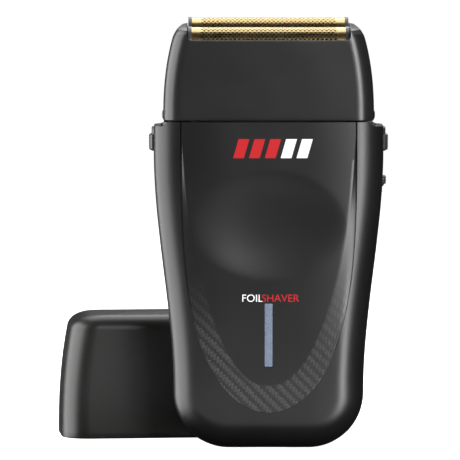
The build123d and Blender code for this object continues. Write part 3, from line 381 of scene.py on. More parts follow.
def shell_grid(front):
    """Skin and inner wall of a handle shell, as two grids of points running from the foot to the rim."""
    outline, normals = handle_outline(OUTLINE_POINTS)
    fine, fine_normals = handle_outline(FINE_POINTS)
    starts, outer = along_ray(outline, outer_edge, BAND_FOOT)
    _, inner = along_ray(outline, inner_edge, PANEL_FOOT)
    inner = np.minimum(inner, outer - LEAST_BEVEL)
    columns = []
    relief = []
    if front:
        for t in np.linspace(0, 1, 30) ** 0.9:
            columns.append(inner * t)
            relief.append(0.0)
        for t in np.linspace(0, 1, 9)[1:]:
            columns.append(inner + (outer - inner) * t)
            relief.append(BEVEL_DEPTH * t)
        columns.append(outer + EDGE_STEP)
        relief.append(0.0)
    else:
        for t in np.linspace(0, 1, 14):
            columns.append(outer * t)
            relief.append(0.0)
    last = columns[-1]
    for t in np.sin(np.linspace(0, math.pi / 2, 20))[1:]:
        columns.append(last + (1 - last) * t)
        relief.append(0.0)
    skin = []
    lining = []
    for column, depth in zip(columns, relief):
        flat = starts + column[:, None] * (outline - starts)
        gap = flat[:, None, :] - fine[None, :, :]
        reach = np.linalg.norm(gap, axis=2)
        nearest = reach.argmin(axis=1)
        inset = reach[np.arange(len(flat)), nearest]
        slope = np.clip((EDGE_ROUND - inset) / EDGE_ROUND, 0, 1)
        level = np.sqrt(1 - slope**2)
        y = HALF_DEPTH - EDGE_ROUND + EDGE_ROUND * level
        out = fine_normals[nearest]
        facing = np.stack([out[:, 0] * slope, level, out[:, 1] * slope], axis=1)
        base = np.stack([flat[:, 0], y, flat[:, 1]], axis=1)
        hollow = dish(flat[:, 0], flat[:, 1]) if front else np.zeros(len(flat))
        inside = base - SHELL_WALL * facing
        inside[:, 1] -= LINING_DISH * hollow
        lining.append(inside)
        growth = np.clip((flat[:, 1] - BEVEL_GROWS_FROM) / BEVEL_GROWS_OVER, 0, 1)
        fade = BEVEL_AT_FOOT + (1 - BEVEL_AT_FOOT) * growth
        crown = FRONT_CROWN * (np.clip(np.abs(flat[:, 0]) - FLAT_HALF, 0, None) / CROWN_RUN) ** 2 * level
        if front:
            base[:, 1] -= (hollow + depth * fade + crown + PRINT_THICKNESS) * level**0.5
        skin.append(base)
    straight = HALF_DEPTH - EDGE_ROUND
    depth_of_side = straight + PARTING_Y if front else straight - PARTING_Y
    for t in np.linspace(0, 1, 6)[1:]:
        y = straight - depth_of_side * t
        skin.append(np.stack([outline[:, 0], np.full(len(outline), y), outline[:, 1]], axis=1))
        inside = outline - SHELL_WALL * normals
        lining.append(np.stack([inside[:, 0], np.full(len(outline), y), inside[:, 1]], axis=1))
    way = -1 if front else 1
    for grid in (skin, lining):
        for column in grid:
            column[:, 1] *= way
            column[-1, 2] = BODY_TOP
            near_top = np.clip((column[:, 2] - SHOULDER[1]) / (BODY_TOP - SHOULDER[1]), 0, 1)
            at_side = np.clip((column[:, 0] - DROP_FROM) / DROP_RUN, 0, 1)
            column[:, 2] -= SHOULDER_DROP * near_top * at_side**2 * (3 - 2 * at_side)
    return np.array(skin), np.array(lining)


def weld(piece, distance_mm=0.004):
    """Merge doubled points, drop empty faces and turn every face outwards."""
    work = bmesh.new()
    work.from_mesh(piece.data)
    bmesh.ops.remove_doubles(work, verts=work.verts, dist=distance_mm * MM)
    bmesh.ops.dissolve_degenerate(work, dist=0.0005 * MM, edges=work.edges)
    bmesh.ops.recalc_face_normals(work, faces=work.faces)
    work.to_mesh(piece.data)
    work.free()
    return piece


def shade(piece, angle=35):
    """Smooth shading that stays crisp at corners."""
    piece.data.shade_smooth()
    piece.data.set_sharp_from_angle(angle=math.radians(angle))
    return piece


def make_shell(name, front):
    """A closed shell: skin, lining, the parting edge and the top rim, mirrored about the middle."""
    skin, lining = shell_grid(front)
    columns, rows = skin.shape[:2]
    verts = []
    faces = []
    for side in (1, -1):
        start = len(verts)
        for grid in (skin, lining):
            verts += [(side * x, y, z) for x, y, z in grid.reshape(-1, 3)]
        lining_start = start + columns * rows
        for c in range(columns - 1):
            for r in range(rows - 1):
                a, b = start + c * rows + r, start + (c + 1) * rows + r
                faces.append((a, b, b + 1, a + 1))
                a, b = lining_start + c * rows + r, lining_start + (c + 1) * rows + r
                faces.append((a, a + 1, b + 1, b))
            a, b = start + c * rows + rows - 1, start + (c + 1) * rows + rows - 1
            faces.append((a, b, b + columns * rows, a + columns * rows))
        for r in range(rows - 1):
            a = start + (columns - 1) * rows + r
            faces.append((a, a + columns * rows, a + columns * rows + 1, a + 1))
    return weld(new_piece(name, verts, faces), 0.02)


def cut(piece, *tools):
    """Cut closed tool pieces out of a piece, then throw the tools away."""
    joined = tools[0]
    if len(tools) > 1:
        with bpy.context.temp_override(active_object=joined, selected_editable_objects=list(tools)):
            bpy.ops.object.join()
    modifier = piece.modifiers.new("cut", "BOOLEAN")
    modifier.object = joined
    modifier.operation = "DIFFERENCE"
    modifier.solver = "EXACT"
    settle(piece)
    bpy.data.objects.remove(joined)
    return piece


def settle(piece):
    """Turn a piece and its modifiers into a plain mesh."""
    bpy.context.view_layer.update()
    seen = piece.evaluated_get(bpy.context.evaluated_depsgraph_get())
    made = bpy.data.meshes.new_from_object(seen)
    piece.modifiers.clear()
    old = piece.data
    piece.data = made
    bpy.data.meshes.remove(old)
    return piece


def rounded_loop(half_a, half_b, corner, steps=6):
    """Points round a rounded rectangle, anticlockwise."""
    loop = []
    for quarter, (sa, sb) in enumerate(((1, 1), (-1, 1), (-1, -1), (1, -1))):
        for step in range(steps + 1):
            turn = math.pi / 2 * (quarter + step / steps)
            loop.append((sa * (half_a - corner) + corner * math.cos(turn),
                         sb * (half_b - corner) + corner * math.sin(turn)))
    return loop


def prism(name, axis, centre, loop, low, high):
    """A closed prism: a flat loop swept along x, y or z between two levels."""
    def put(a, b, level):
        a += centre[0]
        b += centre[1]
        return {"x": (level, a, b), "y": (a, level, b), "z": (a, b, level)}[axis]
    count = len(loop)
    verts = [put(a, b, low) for a, b in loop] + [put(a, b, high) for a, b in loop]
    faces = [(i, (i + 1) % count, count + (i + 1) % count, count + i) for i in range(count)]
    faces += [tuple(range(count))[::-1], tuple(range(count, 2 * count))]
    return weld(new_piece(name, verts, faces), 0.0001)


body_finish = Finish("satin_black_shell", (0.030, 0.030, 0.031), 0.42, Specular_IOR_Level=0.5)
bx, _, bz, body_place = body_finish.place()
spark = body_finish.noise(body_place, 5.5, 3.0, 0.6)
cloud = body_finish.noise(body_place, 0.05, 2.0)
band = body_finish.node("ShaderNodeAttribute", {"attribute_name": "twill"}, output="Fac")
THREAD = 0.95
warp = body_finish.maths("FLOOR", bx / THREAD)
weft = body_finish.maths("FLOOR", bz / THREAD)
over = ((warp + weft) % 4) < 1.9
# Twill band colour: the woven pattern of over and under threads, plus a painted sheen that lightens each
# thread along its length.
warp_sheen = body_finish.maths("PINGPONG", bz / THREAD, 0.5)
weft_sheen = body_finish.maths("PINGPONG", bx / THREAD, 0.5)
weave_and_sheen = band * (over * (0.55 + weft_sheen) + (1 - over) * (0.1 + warp_sheen * 0.5))
body_finish.set("Base Color", body_finish.blend(
    weave_and_sheen * 0.8 + cloud * 0.12, (0.0055, 0.0055, 0.0058), (0.056, 0.056, 0.058)))
body_finish.set("Roughness", 0.27 + spark * 0.10 + cloud * 0.05 - weave_and_sheen * 0.10)
body_finish.bump(spark * 0.35 + weave_and_sheen * 1.2, 0.05, 0.5)


TWILL_TOP = 56
TWILL_FADE = 22
TWILL_LAP = 0.02


def add_twill(piece):
    """Mark how much of the woven texture, with its painted sheen, each point of the front shell carries."""
    places = np.array([v.co for v in piece.data.vertices]) / MM
    x, y, z = np.abs(places[:, 0]), places[:, 1], places[:, 2]
    in_width = (x < outer_edge(z) + TWILL_LAP) & (x > inner_edge(z) - TWILL_LAP)
    in_band = in_width & (y < -HALF_DEPTH / 2) & (z > BAND_FOOT - TWILL_LAP)
    strength = np.clip((TWILL_TOP - z) / TWILL_FADE, 0, 1)
    mark = piece.data.attributes.new("twill", "FLOAT", "POINT")
    mark.data.foreach_set("value", (in_band * strength).astype(np.float32))


def attach(piece, body, slot, *replaced):
    """Settle which body a piece rides on, and hide the nodes it stands for; the slot argument is not used."""
    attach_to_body(piece, body)
    if replaced:
        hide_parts(*replaced)
    return piece


front_shell = make_shell("front_shell", True)
key_low, key_high = (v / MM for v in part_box("release_button_right"))
slider_low, slider_high = (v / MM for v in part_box("power_slider"))
lens_low, lens_high = (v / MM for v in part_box("indicator_lens"))
key_centre = ((key_low.y + key_high.y) / 2, (key_low.z + key_high.z) / 2)
KEY_HALF = (5.75, 4.1)
key_opening = (key_centre[0], key_low.z + KEY_HALF[1])
SLIDER_HALF = (3.75, 3.05)
SLIDER_TRAVEL = 3.0
slider_centre = ((slider_low.y + slider_high.y) / 2, (slider_low.z + slider_high.z) / 2 + SLIDER_TRAVEL / 2)
slider_opening = rounded_loop(SLIDER_HALF[0], SLIDER_HALF[1] + SLIDER_TRAVEL / 2, 1.2)
lens_centre = (0, (lens_low.z + lens_high.z) / 2)
LENS_HALF = ((lens_high.x - lens_low.x) / 2 - 1, (lens_high.z - lens_low.z) / 2 - 1)
SOCKET_NOSE = 3.45
shell_tools = [
    prism("key_cut_right", "x", key_opening, rounded_loop(*KEY_HALF, 1.4), HALF_WIDTH - 6, HALF_WIDTH + 2),
    prism("key_cut_left", "x", key_opening, rounded_loop(*KEY_HALF, 1.4), -HALF_WIDTH - 2, -HALF_WIDTH + 6),
    prism("slider_cut", "x", slider_centre, slider_opening, HALF_WIDTH - 6, HALF_WIDTH + 2),
    prism("lens_cut", "y", lens_centre, rounded_loop(LENS_HALF[0] + 0.06, LENS_HALF[1] + 0.06, 0.4),
          -HALF_DEPTH - 2, -HALF_DEPTH + 4),
    prism("socket_cut", "z", (0, 0), rounded_loop(SOCKET_NOSE, SOCKET_NOSE, SOCKET_NOSE - 0.01, 10), -1, 4),
]
cut(front_shell, *shell_tools)
add_twill(front_shell)
body_finish.wear(shade(front_shell, 32))
attach(front_shell, "handle", "body_plastic", "front_housing")


def dress(finish, *names):
    """Give CAD nodes their finish."""
    for name in names:
        finish.wear(nodes[name])
        shade(nodes[name], 30)


def soften(node, body, slot, finish, edge_mm):
    """A copy of a node with its corners broken, as moulded and turned parts have them."""
    piece = bpy.data.objects.new(node + "_softened", nodes[node].data.copy())
    scene.collection.objects.link(piece)
    work = bmesh.new()
    work.from_mesh(piece.data)
    bmesh.ops.remove_doubles(work, verts=work.verts, dist=0.002 * MM)
    bmesh.ops.dissolve_limit(work, angle_limit=math.radians(1.5), verts=work.verts, edges=work.edges)
    work.to_mesh(piece.data)
    work.free()
    modifier = piece.modifiers.new("edges", "BEVEL")
    modifier.width = edge_mm * MM
    modifier.segments = 2
    modifier.limit_method = "ANGLE"
    modifier.angle_limit = math.radians(40)
    settle(piece)
    shade(piece, 30)
    finish.wear(piece)
    return attach(piece, body, slot, node)


class Pattern(Wiring):
    """A Geometry Nodes tree that lays out copies of a small piece and becomes a plain mesh."""

    def __init__(self, name):
        super().__init__(bpy.data.node_groups.new(name, "GeometryNodeTree"))
        self.tree.interface.new_socket("Geometry", in_out="INPUT", socket_type="NodeSocketGeometry")
        self.tree.interface.new_socket("Geometry", in_out="OUTPUT", socket_type="NodeSocketGeometry")
        self.entry = self.tree.nodes.new("NodeGroupInput")
        self.values = {}

    def option(self, name, value, kind="NodeSocketFloat"):
        """A named input of the pattern with its value."""
        item = self.tree.interface.new_socket(name, in_out="INPUT", socket_type=kind)
        self.values[item.identifier] = value
        return Signal(self, self.entry.outputs[name])

    def split(self, vector):
        made = self.node("ShaderNodeSeparateXYZ", i0=vector).socket.node
        return [Signal(self, out) for out in made.outputs]

    def shape_of(self, name, piece):
        """The mesh of a small piece, for instancing."""
        chosen = self.option(name, piece, "NodeSocketObject")
        return self.node("GeometryNodeObjectInfo", output="Geometry", i0=chosen)

    def make(self, name, geometry, finish):
        """Finish the tree, run it and return its mesh as a new piece."""
        whole = self.node("GeometryNodeRealizeInstances", i0=geometry)
        coated = self.node("GeometryNodeSetMaterial", Geometry=whole, Material=finish.material)
        exit_node = self.tree.nodes.new("NodeGroupOutput")
        self.tree.links.new(coated.socket, exit_node.inputs[0])
        piece = new_piece(name, [], [])
        modifier = piece.modifiers.new("pattern", "NODES")
        modifier.node_group = self.tree
        for identifier, value in self.values.items():
            modifier[identifier] = value
        settle(piece)
        return piece


def join(name, *pieces):
    """Several pieces made into one."""
    with bpy.context.temp_override(active_object=pieces[0], selected_editable_objects=list(pieces)):
        bpy.ops.object.join()
    pieces[0].name = name
    return pieces[0]


def loft(name, rings, closed=True):
    """Skin a stack of equal loops; the first and last are capped, or joined to each other."""
    count = len(rings[0])
    verts = [point for ring in rings for point in ring]
    faces = []
    spans = len(rings) if not closed else len(rings) - 1
    for r in range(spans):
        a, b = r * count, ((r + 1) % len(rings)) * count
        for i in range(count):
            j = (i + 1) % count
            faces.append((a + i, a + j, b + j, b + i))
    if closed:
        last = (len(rings) - 1) * count
        faces += [tuple(range(count))[::-1], tuple(range(last, last + count))]
    return weld(new_piece(name, verts, faces), 0.001)


def lathe(name, profile, steps=28):
    """Spin a closed (radius, height) profile about Z."""
    rings = []
    for step in range(steps):
        turn = 2 * math.pi * step / steps
        rings.append([(r * math.cos(turn), r * math.sin(turn), z) for r, z in profile])
    return loft(name, rings, closed=False)


def metal(name, colour, roughness, grain=(1, 1, 1), marks=0.015):
    """Bare metal: fine tool marks that run along the axis with the smallest grain number."""
    finish = Finish(name, colour, roughness, Metallic=1.0)
    where = finish.place()[3]
    lines = finish.noise(finish.stretched(where, *grain), 3.0, 3.0, 0.6)
    drift = finish.noise(where, 0.3, 2.0)
    finish.set("Roughness", lines * 0.14 + drift * 0.08 + (roughness - 0.11))
    finish.set("Base Color", finish.blend(drift, tuple(c * 0.86 for c in colour), colour))
    finish.bump(lines, marks, 0.5)
    return finish


# The back cover: plain, with a counterbore over each housing screw and a boss inside it
rear_shell = make_shell("rear_shell", False)
COUNTERBORE = 2.4
SCREW_SEAT_Y = 14.0
foot_screw = (24.0, 20.0)
shoulder_screw = (27.0, 77.0)
screw_places = [(side * x, z) for x, z in (foot_screw, shoulder_screw) for side in (-1, 1)]
counterbore_loop = rounded_loop(COUNTERBORE, COUNTERBORE, COUNTERBORE - 0.01, 9)
cut(rear_shell, *[prism(f"counterbore_{i}", "y", place, counterbore_loop, SCREW_SEAT_Y, HALF_DEPTH + 1)
                  for i, place in enumerate(screw_places)])
body_finish.wear(shade(rear_shell, 32))
BOSS_OUTER = 2.9
BOSS_INNER = 1.2
BOSS_GAP = 0.05
FRONT_BOSS_END = -9.0


def make_bosses(name, low, high):
    """Tubes at the four screw places, between two depths."""
    profile = [(BOSS_INNER, low), (BOSS_OUTER, low), (BOSS_OUTER, high), (BOSS_INNER, high)]
    tube = lathe("boss_tube", profile, 24)
    marks = new_piece("boss_marks", [(x, 0, z) for x, z in screw_places], [])
    pattern = Pattern("bosses")
    mould = pattern.shape_of("Tube", tube)
    places = pattern.shape_of("Places", marks)
    laid = pattern.node("GeometryNodeInstanceOnPoints", Points=places, Instance=mould,
                        Rotation=(-math.pi / 2, 0, 0))
    made = pattern.make(name, laid, body_finish)
    bpy.data.objects.remove(tube)
    bpy.data.objects.remove(marks)
    return made


rear_bosses = make_bosses("rear_bosses", PARTING_Y + BOSS_GAP, SCREW_SEAT_Y - 0.25)
rear_shell = join("rear_shell", rear_shell, rear_bosses)
attach(rear_shell, "handle", "body_plastic", "rear_housing")
front_bosses = make_bosses("front_bosses", FRONT_BOSS_END, PARTING_Y - BOSS_GAP)
attach(front_bosses, "handle", "body_plastic")
shade(front_bosses, 32)

screw_finish = metal("blackened_screw_steel", (0.33, 0.33, 0.34), 0.34, (1, 0.1, 1))
dress(screw_finish, "board_screws", "motor_screws", "motor_frame_screws", "deck_screws", "retainer_screws")
soften("housing_screws", "handle", "screw_steel", screw_finish, 0.15)

# ---- Front trim -----------------------------------------------------------------------------
# A clear-grey light pipe sits in a slot low on the front, in four charge-level segments.
# Above the dish is a pad-printed mark of slanted bars, and a short printed word below it.
lens_finish = Finish("smoked_blue_light_pipe", (0.24, 0.29, 0.36), 0.28, Specular_IOR_Level=0.5)
_, _, lens_z, lens_place = lens_finish.place()
SEGMENTS = 4
segment_pitch = (lens_high.z - lens_low.z - 2) / SEGMENTS
along = (lens_z - (lens_low.z + 1)) / segment_pitch
in_segment = lens_finish.maths("ABSOLUTE", (along % 1) - 0.5)
divider = lens_finish.maths("SMOOTH_MIN", in_segment * 2, 1, 0.1)
haze = lens_finish.noise(lens_place, 1.5, 2.0)
edge_glow = lens_finish.maths("POWER", divider, 8)
lens_finish.set("Base Color", lens_finish.blend(
    edge_glow * 0.5 + haze * 0.25, (0.155, 0.195, 0.265), (0.23, 0.265, 0.33)))
lens_finish.set("Roughness", 0.22 + haze * 0.12)
lens_finish.bump(edge_glow, 0.12, 0.6)
LENS_FACE = -HALF_DEPTH + 0.35
lens_seat = -HALF_DEPTH + SHELL_WALL
lens_parts = []
for index in range(SEGMENTS):
    level = lens_low.z + 1 + segment_pitch * (index + 0.5)
    lens_parts.append(prism(f"segment_{index}", "y", (0, level),
                            rounded_loop(LENS_HALF[0] - 0.04, segment_pitch / 2 - 0.06, 0.25),
                            LENS_FACE, lens_seat))
core_loop = rounded_loop(LENS_HALF[0] - 0.1, LENS_HALF[1] - 0.1, 0.3)
lens_parts.append(prism("lens_core", "y", lens_centre, core_loop, LENS_FACE + 0.12, lens_seat - 0.05))
flange_loop = rounded_loop(LENS_HALF[0] + 1, LENS_HALF[1] + 1, 0.4)
lens_parts.append(prism("lens_flange", "y", lens_centre, flange_loop, lens_seat + 0.02, lens_seat + 0.8))
lens = join("light_pipe", *lens_parts)
lens_finish.wear(shade(lens, 30))
attach(lens, "handle", "lens_plastic", "indicator_lens")


def moulded(name, colour, roughness, grain=0.02):
    """Moulded plastic: spark-eroded grain, with a little drift in its gloss."""
    finish = Finish(name, colour, roughness, Specular_IOR_Level=0.5)
    where = finish.place()[3]
    grit = finish.noise(where, 6.0, 3.0, 0.6)
    drift = finish.noise(where, 0.12, 2.0)
    finish.set("Roughness", grit * 0.10 + drift * 0.08 + (roughness - 0.09))
    lighter = tuple(min(1.0, c * 1.3 + 0.001) for c in colour)
    finish.set("Base Color", finish.blend(grit * 0.5 + drift * 0.3, colour, lighter))
    finish.bump(grit, grain, 0.6)
    return finish


led_finish = moulded("led_package_white", (0.75, 0.75, 0.70), 0.4)
dress(led_finish, "indicator_leds")


def slanted_bar(name, left, low, width, height, lean):
    """A printed bar that leans to the right, on the front face."""
    right, high = left + width, low + height
    loop = [(left, low), (right, low), (right + lean, high), (left + lean, high)]
    return prism(name, "y", (0, 0), loop, -HALF_DEPTH, -HALF_DEPTH + 2 * PRINT_THICKNESS)


red_ink = moulded("red_print", (0.42, 0.006, 0.010), 0.38, 0.004)
white_ink = moulded("white_print", (0.80, 0.80, 0.80), 0.42, 0.004)
MARK_LOW = 95.4
MARK_HEIGHT = 6.2
BAR = 3.5
BAR_PITCH = 5.15
BAR_LEAN = 1.8
MARK_LEFT = -11.6
bars = [slanted_bar(f"bar_{i}", MARK_LEFT + i * BAR_PITCH, MARK_LOW, BAR, MARK_HEIGHT, BAR_LEAN)
        for i in range(5)]
red_bars, white_bars = bars[:3], bars[3:]


FONT_TO_CAPITALS = 1.38


def printed_word(name, word, left, low, height):
    """A flat printed word in a plain typeface."""
    data = bpy.data.curves.new(name, "FONT")
    data.body = word
    data.size = height * MM * FONT_TO_CAPITALS
    data.extrude = PRINT_THICKNESS * MM
    piece = bpy.data.objects.new(name, data)
    scene.collection.objects.link(piece)
    bpy.context.view_layer.update()
    made = bpy.data.meshes.new_from_object(piece.evaluated_get(bpy.context.evaluated_depsgraph_get()))
    bpy.data.objects.remove(piece)
    flat = bpy.data.objects.new(name, made)
    scene.collection.objects.link(flat)
    lowest = min(v.co.x for v in made.vertices)
    made.transform(Matrix.Translation((left * MM - lowest, (PRINT_THICKNESS - HALF_DEPTH) * MM, low * MM))
                   @ Matrix.Rotation(math.radians(90), 4, "X"))
    return flat


WORD_LOW = 48.6
WORD_HEIGHT = 2.5
white_word = printed_word("white_word", "FOIL", -8.6, WORD_LOW, WORD_HEIGHT)
red_word = printed_word("red_word", "SHAVER", -2.2, WORD_LOW, WORD_HEIGHT)
red_print = join("red_print", *red_bars, red_word)
white_print = join("white_print", *white_bars, white_word)
attach(red_ink.wear(weld(red_print, 0.0001)), "handle", "body_plastic")
attach(white_ink.wear(weld(white_print, 0.0001)), "handle", "body_plastic")

# ---- Side controls --------------------------------------------------------------------------
# Two ribbed release keys unlatch the foil head, and a ribbed slider below the right one switches the
# motor. All three are glass-filled nylon, a little greyer than the shells, and held inside by flanges.
key_finish = moulded("grey_key_nylon", (0.030, 0.030, 0.031), 0.42, 0.03)
KEY_BULGE = 1.45
KEY_TAB = 0.75
KEY_STEP = 0.2
KEY_ROUNDING = 0.16
BULGE_END = 0.68
TAB_START = 0.72
KEY_FACE_HALF = (5.5, 3.9)
key_root = HALF_WIDTH - 4.0


def key_swell(t):
    """How far the key's face stands out at height t: a rounded bulge, with a thin tab above it."""
    if t > TAB_START:
        return KEY_TAB
    if t > BULGE_END:
        return KEY_BULGE - (KEY_BULGE - KEY_TAB) * (t - BULGE_END) / (TAB_START - BULGE_END)
    return KEY_STEP + (KEY_BULGE - KEY_STEP) * math.sqrt(1 - (1 - min(1.0, t / KEY_ROUNDING)) ** 2)


PAD_LEVELS = 22
PAD_STEPS = 16
PAD_CORNER = 1.2
PAD_FLAT = 0.72
PAD_FALL = 0.9


def pad(name, half_y, low_z, high_z, swell, root, centre_y):
    """A pushbutton pad: a rounded outline in the side wall with a face that follows a swell curve."""
    rings = []
    for level in range(PAD_LEVELS + 1):
        t = level / PAD_LEVELS
        z = low_z + (high_z - low_z) * t
        into_corner = max(0, PAD_CORNER - min(t, 1 - t) * (high_z - low_z))
        narrow = PAD_CORNER - math.sqrt(max(0, PAD_CORNER**2 - into_corner**2))
        face = HALF_WIDTH + swell(t)
        ring = []
        half = half_y - narrow
        for step in range(PAD_STEPS + 1):
            u = step / PAD_STEPS * 2 - 1
            fall = PAD_FALL * max(0, abs(u) - PAD_FLAT) ** 2 / (1 - PAD_FLAT) ** 2
            ring.append((face - fall, centre_y + half * u, z))
        ring.append((root, centre_y + half, z))
        ring.append((root, centre_y - half, z))
        rings.append(ring)
    return loft(name, rings)


def ribs(name, finish, half_y, heights, faces, centre_y, size):
    """Thin grip ribs across a key, one instanced bar at each height."""
    loop = [(size * math.cos(a), size * math.sin(a)) for a in np.linspace(0, 2 * math.pi, 10, endpoint=False)]
    bar = prism("rib_bar", "y", (0, 0), loop, centre_y - half_y, centre_y + half_y)
    marks = new_piece("rib_marks", [(x, 0, z) for x, z in zip(faces, heights)], [])
    pattern = Pattern("ribs")
    laid = pattern.node("GeometryNodeInstanceOnPoints", Points=pattern.shape_of("Places", marks),
                        Instance=pattern.shape_of("Rib", bar))
    made = pattern.make(name, laid, finish)
    bpy.data.objects.remove(bar)
    bpy.data.objects.remove(marks)
    return made


def make_key(side):
    """One release key with its ribs and its flange."""
    foot = key_opening[1] - KEY_FACE_HALF[1]
    height = 2 * KEY_FACE_HALF[1]
    key = pad("key_pad", KEY_FACE_HALF[0], foot, foot + height, key_swell, key_root, key_centre[0])
    steps = [0.10 + 0.07 * i for i in range(9)]
    grip = ribs("key_ribs", key_finish, 4.6, [foot + height * t for t in steps],
                [HALF_WIDTH + key_swell(t) - 0.05 for t in steps], key_centre[0], 0.2)
    flange = prism("key_flange", "x", key_centre, rounded_loop(6.3, 4.6, 1.6), key_low.x, key_root + 0.3)
    whole = join(f"{side}_key", key, grip, flange)
    if side == "left":
        whole.data.transform(Matrix.Scale(-1, 4, (1, 0, 0)))
        whole.data.flip_normals()
    key_finish.wear(shade(whole, 34))
    return attach(whole, f"release_{side}", "key_plastic", f"release_button_{side}")


make_key("right")
make_key("left")

SLIDER_FACE_HALF = (3.5, 2.8)
SLIDER_SUNK = 0.35
SLIDER_RISE = 1.25
slider_middle = (slider_low.z + slider_high.z) / 2
SLIDER_BODY = (slider_middle - SLIDER_FACE_HALF[1], slider_middle + SLIDER_FACE_HALF[1])


def slider_swell(t):
    """The slider stands proud in its upper part and tapers into the wall below."""
    return SLIDER_RISE * min(1.0, max(0.0, (t - 0.36) / 0.23)) - SLIDER_SUNK


slide = pad("slide_pad", SLIDER_FACE_HALF[0], *SLIDER_BODY, slider_swell, key_root, slider_centre[0])
slide_steps = [0.1 + 0.16 * i for i in range(6)]
slide_heights = [SLIDER_BODY[0] + 2 * SLIDER_FACE_HALF[1] * t for t in slide_steps]
slide_faces = [HALF_WIDTH + slider_swell(t) - 0.04 for t in slide_steps]
slide_grip = ribs("slide_ribs", key_finish, 2.8, slide_heights, slide_faces, slider_centre[0], 0.22)
SLIDE_FLANGE = 1.2
slide_spot = (slider_centre[0], slider_middle)
slide_flange_loop = rounded_loop((slider_high.y - slider_low.y) / 2, (slider_high.z - slider_low.z) / 2, 0.8)
slide_flange = prism("slide_flange", "x", slide_spot, slide_flange_loop,
                     slider_low.x, slider_low.x + SLIDE_FLANGE)
slide_neck = prism("slide_neck", "x", slide_spot, rounded_loop(3.3, 2.7, 0.8),
                   slider_low.x + SLIDE_FLANGE - 0.1, key_root + 0.2)
slide = join("power_slide", slide, slide_grip, slide_flange, slide_neck)
key_finish.wear(shade(slide, 34))
attach(slide, "power_slider", "key_plastic", "power_slider")

spring_finish = metal("spring_wire", (0.62, 0.61, 0.59), 0.26)
dress(spring_finish, "release_spring_left", "release_spring_right")
chip_finish = moulded("chip_epoxy", (0.018, 0.018, 0.019), 0.5)
dress(chip_finish, "switch_actuator", "slide_switch", "board_chips")

# ---- Inside the handle ----------------------------------------------------------------------
# A glass-epoxy board behind the light pipe, one sleeved lithium cell on saddles in the back cover,
# and a charging socket seated in the base, wired up with silicone leads.
board_finish = Finish("green_solder_mask", (0.010, 0.085, 0.035), 0.35, Coat_Weight=0.4)
board_x, _, _, board_place = board_finish.place()
trace = board_finish.maths("LESS_THAN", board_finish.maths("ABSOLUTE", (board_x / 1.6 % 1) - 0.5), 0.12)
patch = board_finish.noise(board_place, 0.35, 1.0) > 0.52
board_finish.set("Base Color", board_finish.blend(
    trace * patch, (0.010, 0.085, 0.035), (0.020, 0.150, 0.060)))
board_finish.set("Roughness", 0.30 + board_finish.noise(board_place, 2.0) * 0.15)
dress(board_finish, "circuit_board")

sleeve_finish = Finish("blue_cell_sleeve", (0.02, 0.10, 0.38), 0.3, Coat_Weight=0.3)
_, _, sleeve_z, sleeve_place = sleeve_finish.place()
sleeve_ring = sleeve_finish.maths("PINGPONG", sleeve_z, 0.9)
sleeve_finish.set("Roughness", 0.26 + sleeve_finish.noise(sleeve_place, 0.8) * 0.16)
sleeve_finish.bump(sleeve_ring + sleeve_finish.noise(sleeve_place, 0.5), 0.02, 0.4)
dress(sleeve_finish, "battery_cell")
dress(metal("nickel_strip", (0.66, 0.63, 0.56), 0.30, (0.2, 1, 1)), "battery_tabs")
dress(metal("contact_brass", (0.78, 0.57, 0.24), 0.28, (1, 1, 0.2)), "charge_socket_pin", "motor_terminals")
dress(moulded("socket_plastic", (0.020, 0.020, 0.021), 0.42), "charge_socket")
lead_finish = moulded("red_silicone_lead", (0.42, 0.02, 0.02), 0.5, 0.03)
dress(lead_finish, "motor_leads", "battery_leads", "switch_leads")

# ---- Drive chassis --------------------------------------------------------------------------
# A brushed motor hangs under a moulded frame, and its eccentric pin rocks the bridge from side to side on
# two rods. The bridge's posts reach through the deck and carry a sprung cutter each.
chassis_finish = moulded("chassis_acetal", (0.050, 0.050, 0.052), 0.44, 0.02)
dress(chassis_finish, "motor_end_bell", "motor_frame", "foil_retainers")
deck = soften("top_deck", "handle", "chassis_plastic", chassis_finish, 0.2)
STEP_HALF = (1.6, 15.5)
STEP_INSET = 1.5
STEP_DEPTH = 1.7
cut(deck, *[prism("deck_step", "z", (side * (HALF_WIDTH - STEP_INSET), 0), rounded_loop(*STEP_HALF, 0.3),
                  BODY_TOP - STEP_DEPTH, BODY_TOP + 1) for side in (-1, 1)])
shade(deck, 30)
dress(metal("zinc_plated_can", (0.60, 0.61, 0.62), 0.32, (1, 1, 0.08)), "motor_can")
bush_finish = metal("sintered_bronze", (0.55, 0.38, 0.19), 0.42, marks=0.03)
dress(bush_finish, "motor_front_bush", "motor_rear_bush", "eccentric_hub")
dress(moulded("ferrite", (0.05, 0.05, 0.055), 0.55, 0.05), "field_magnets")
dress(moulded("seal_rubber", (0.03, 0.03, 0.03), 0.7, 0.04), "deck_gasket")
shaft_finish = metal("ground_shaft_steel", (0.66, 0.66, 0.67), 0.20, (1, 1, 0.1))
dress(shaft_finish, "guide_rods", "motor_shaft", "eccentric_pin", "drive_posts")
dress(metal("laminated_core_steel", (0.38, 0.37, 0.36), 0.4, (0.1, 0.1, 4)), "armature_core")
dress(metal("enamelled_copper", (0.72, 0.31, 0.14), 0.28, (1, 1, 0.2)), "armature_windings", "commutator")
dress(moulded("bridge_acetal", (0.62, 0.61, 0.58), 0.4), "oscillator_bridge")


def sprung(node, body):
    """A copy of a coil spring with its finish, riding on its body in place of its node."""
    spring = bpy.data.objects.new(node + "_wire", nodes[node].data.copy())
    scene.collection.objects.link(spring)
    spring_finish.wear(shade(weld(spring, 0.002), 30))
    attach(spring, body, "spring_steel", node)
    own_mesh(spring)


for row in ("front", "rear"):
    sprung(f"cutter_spring_{row}", "oscillator")
    sprung(f"foil_springs_{row}", "head")

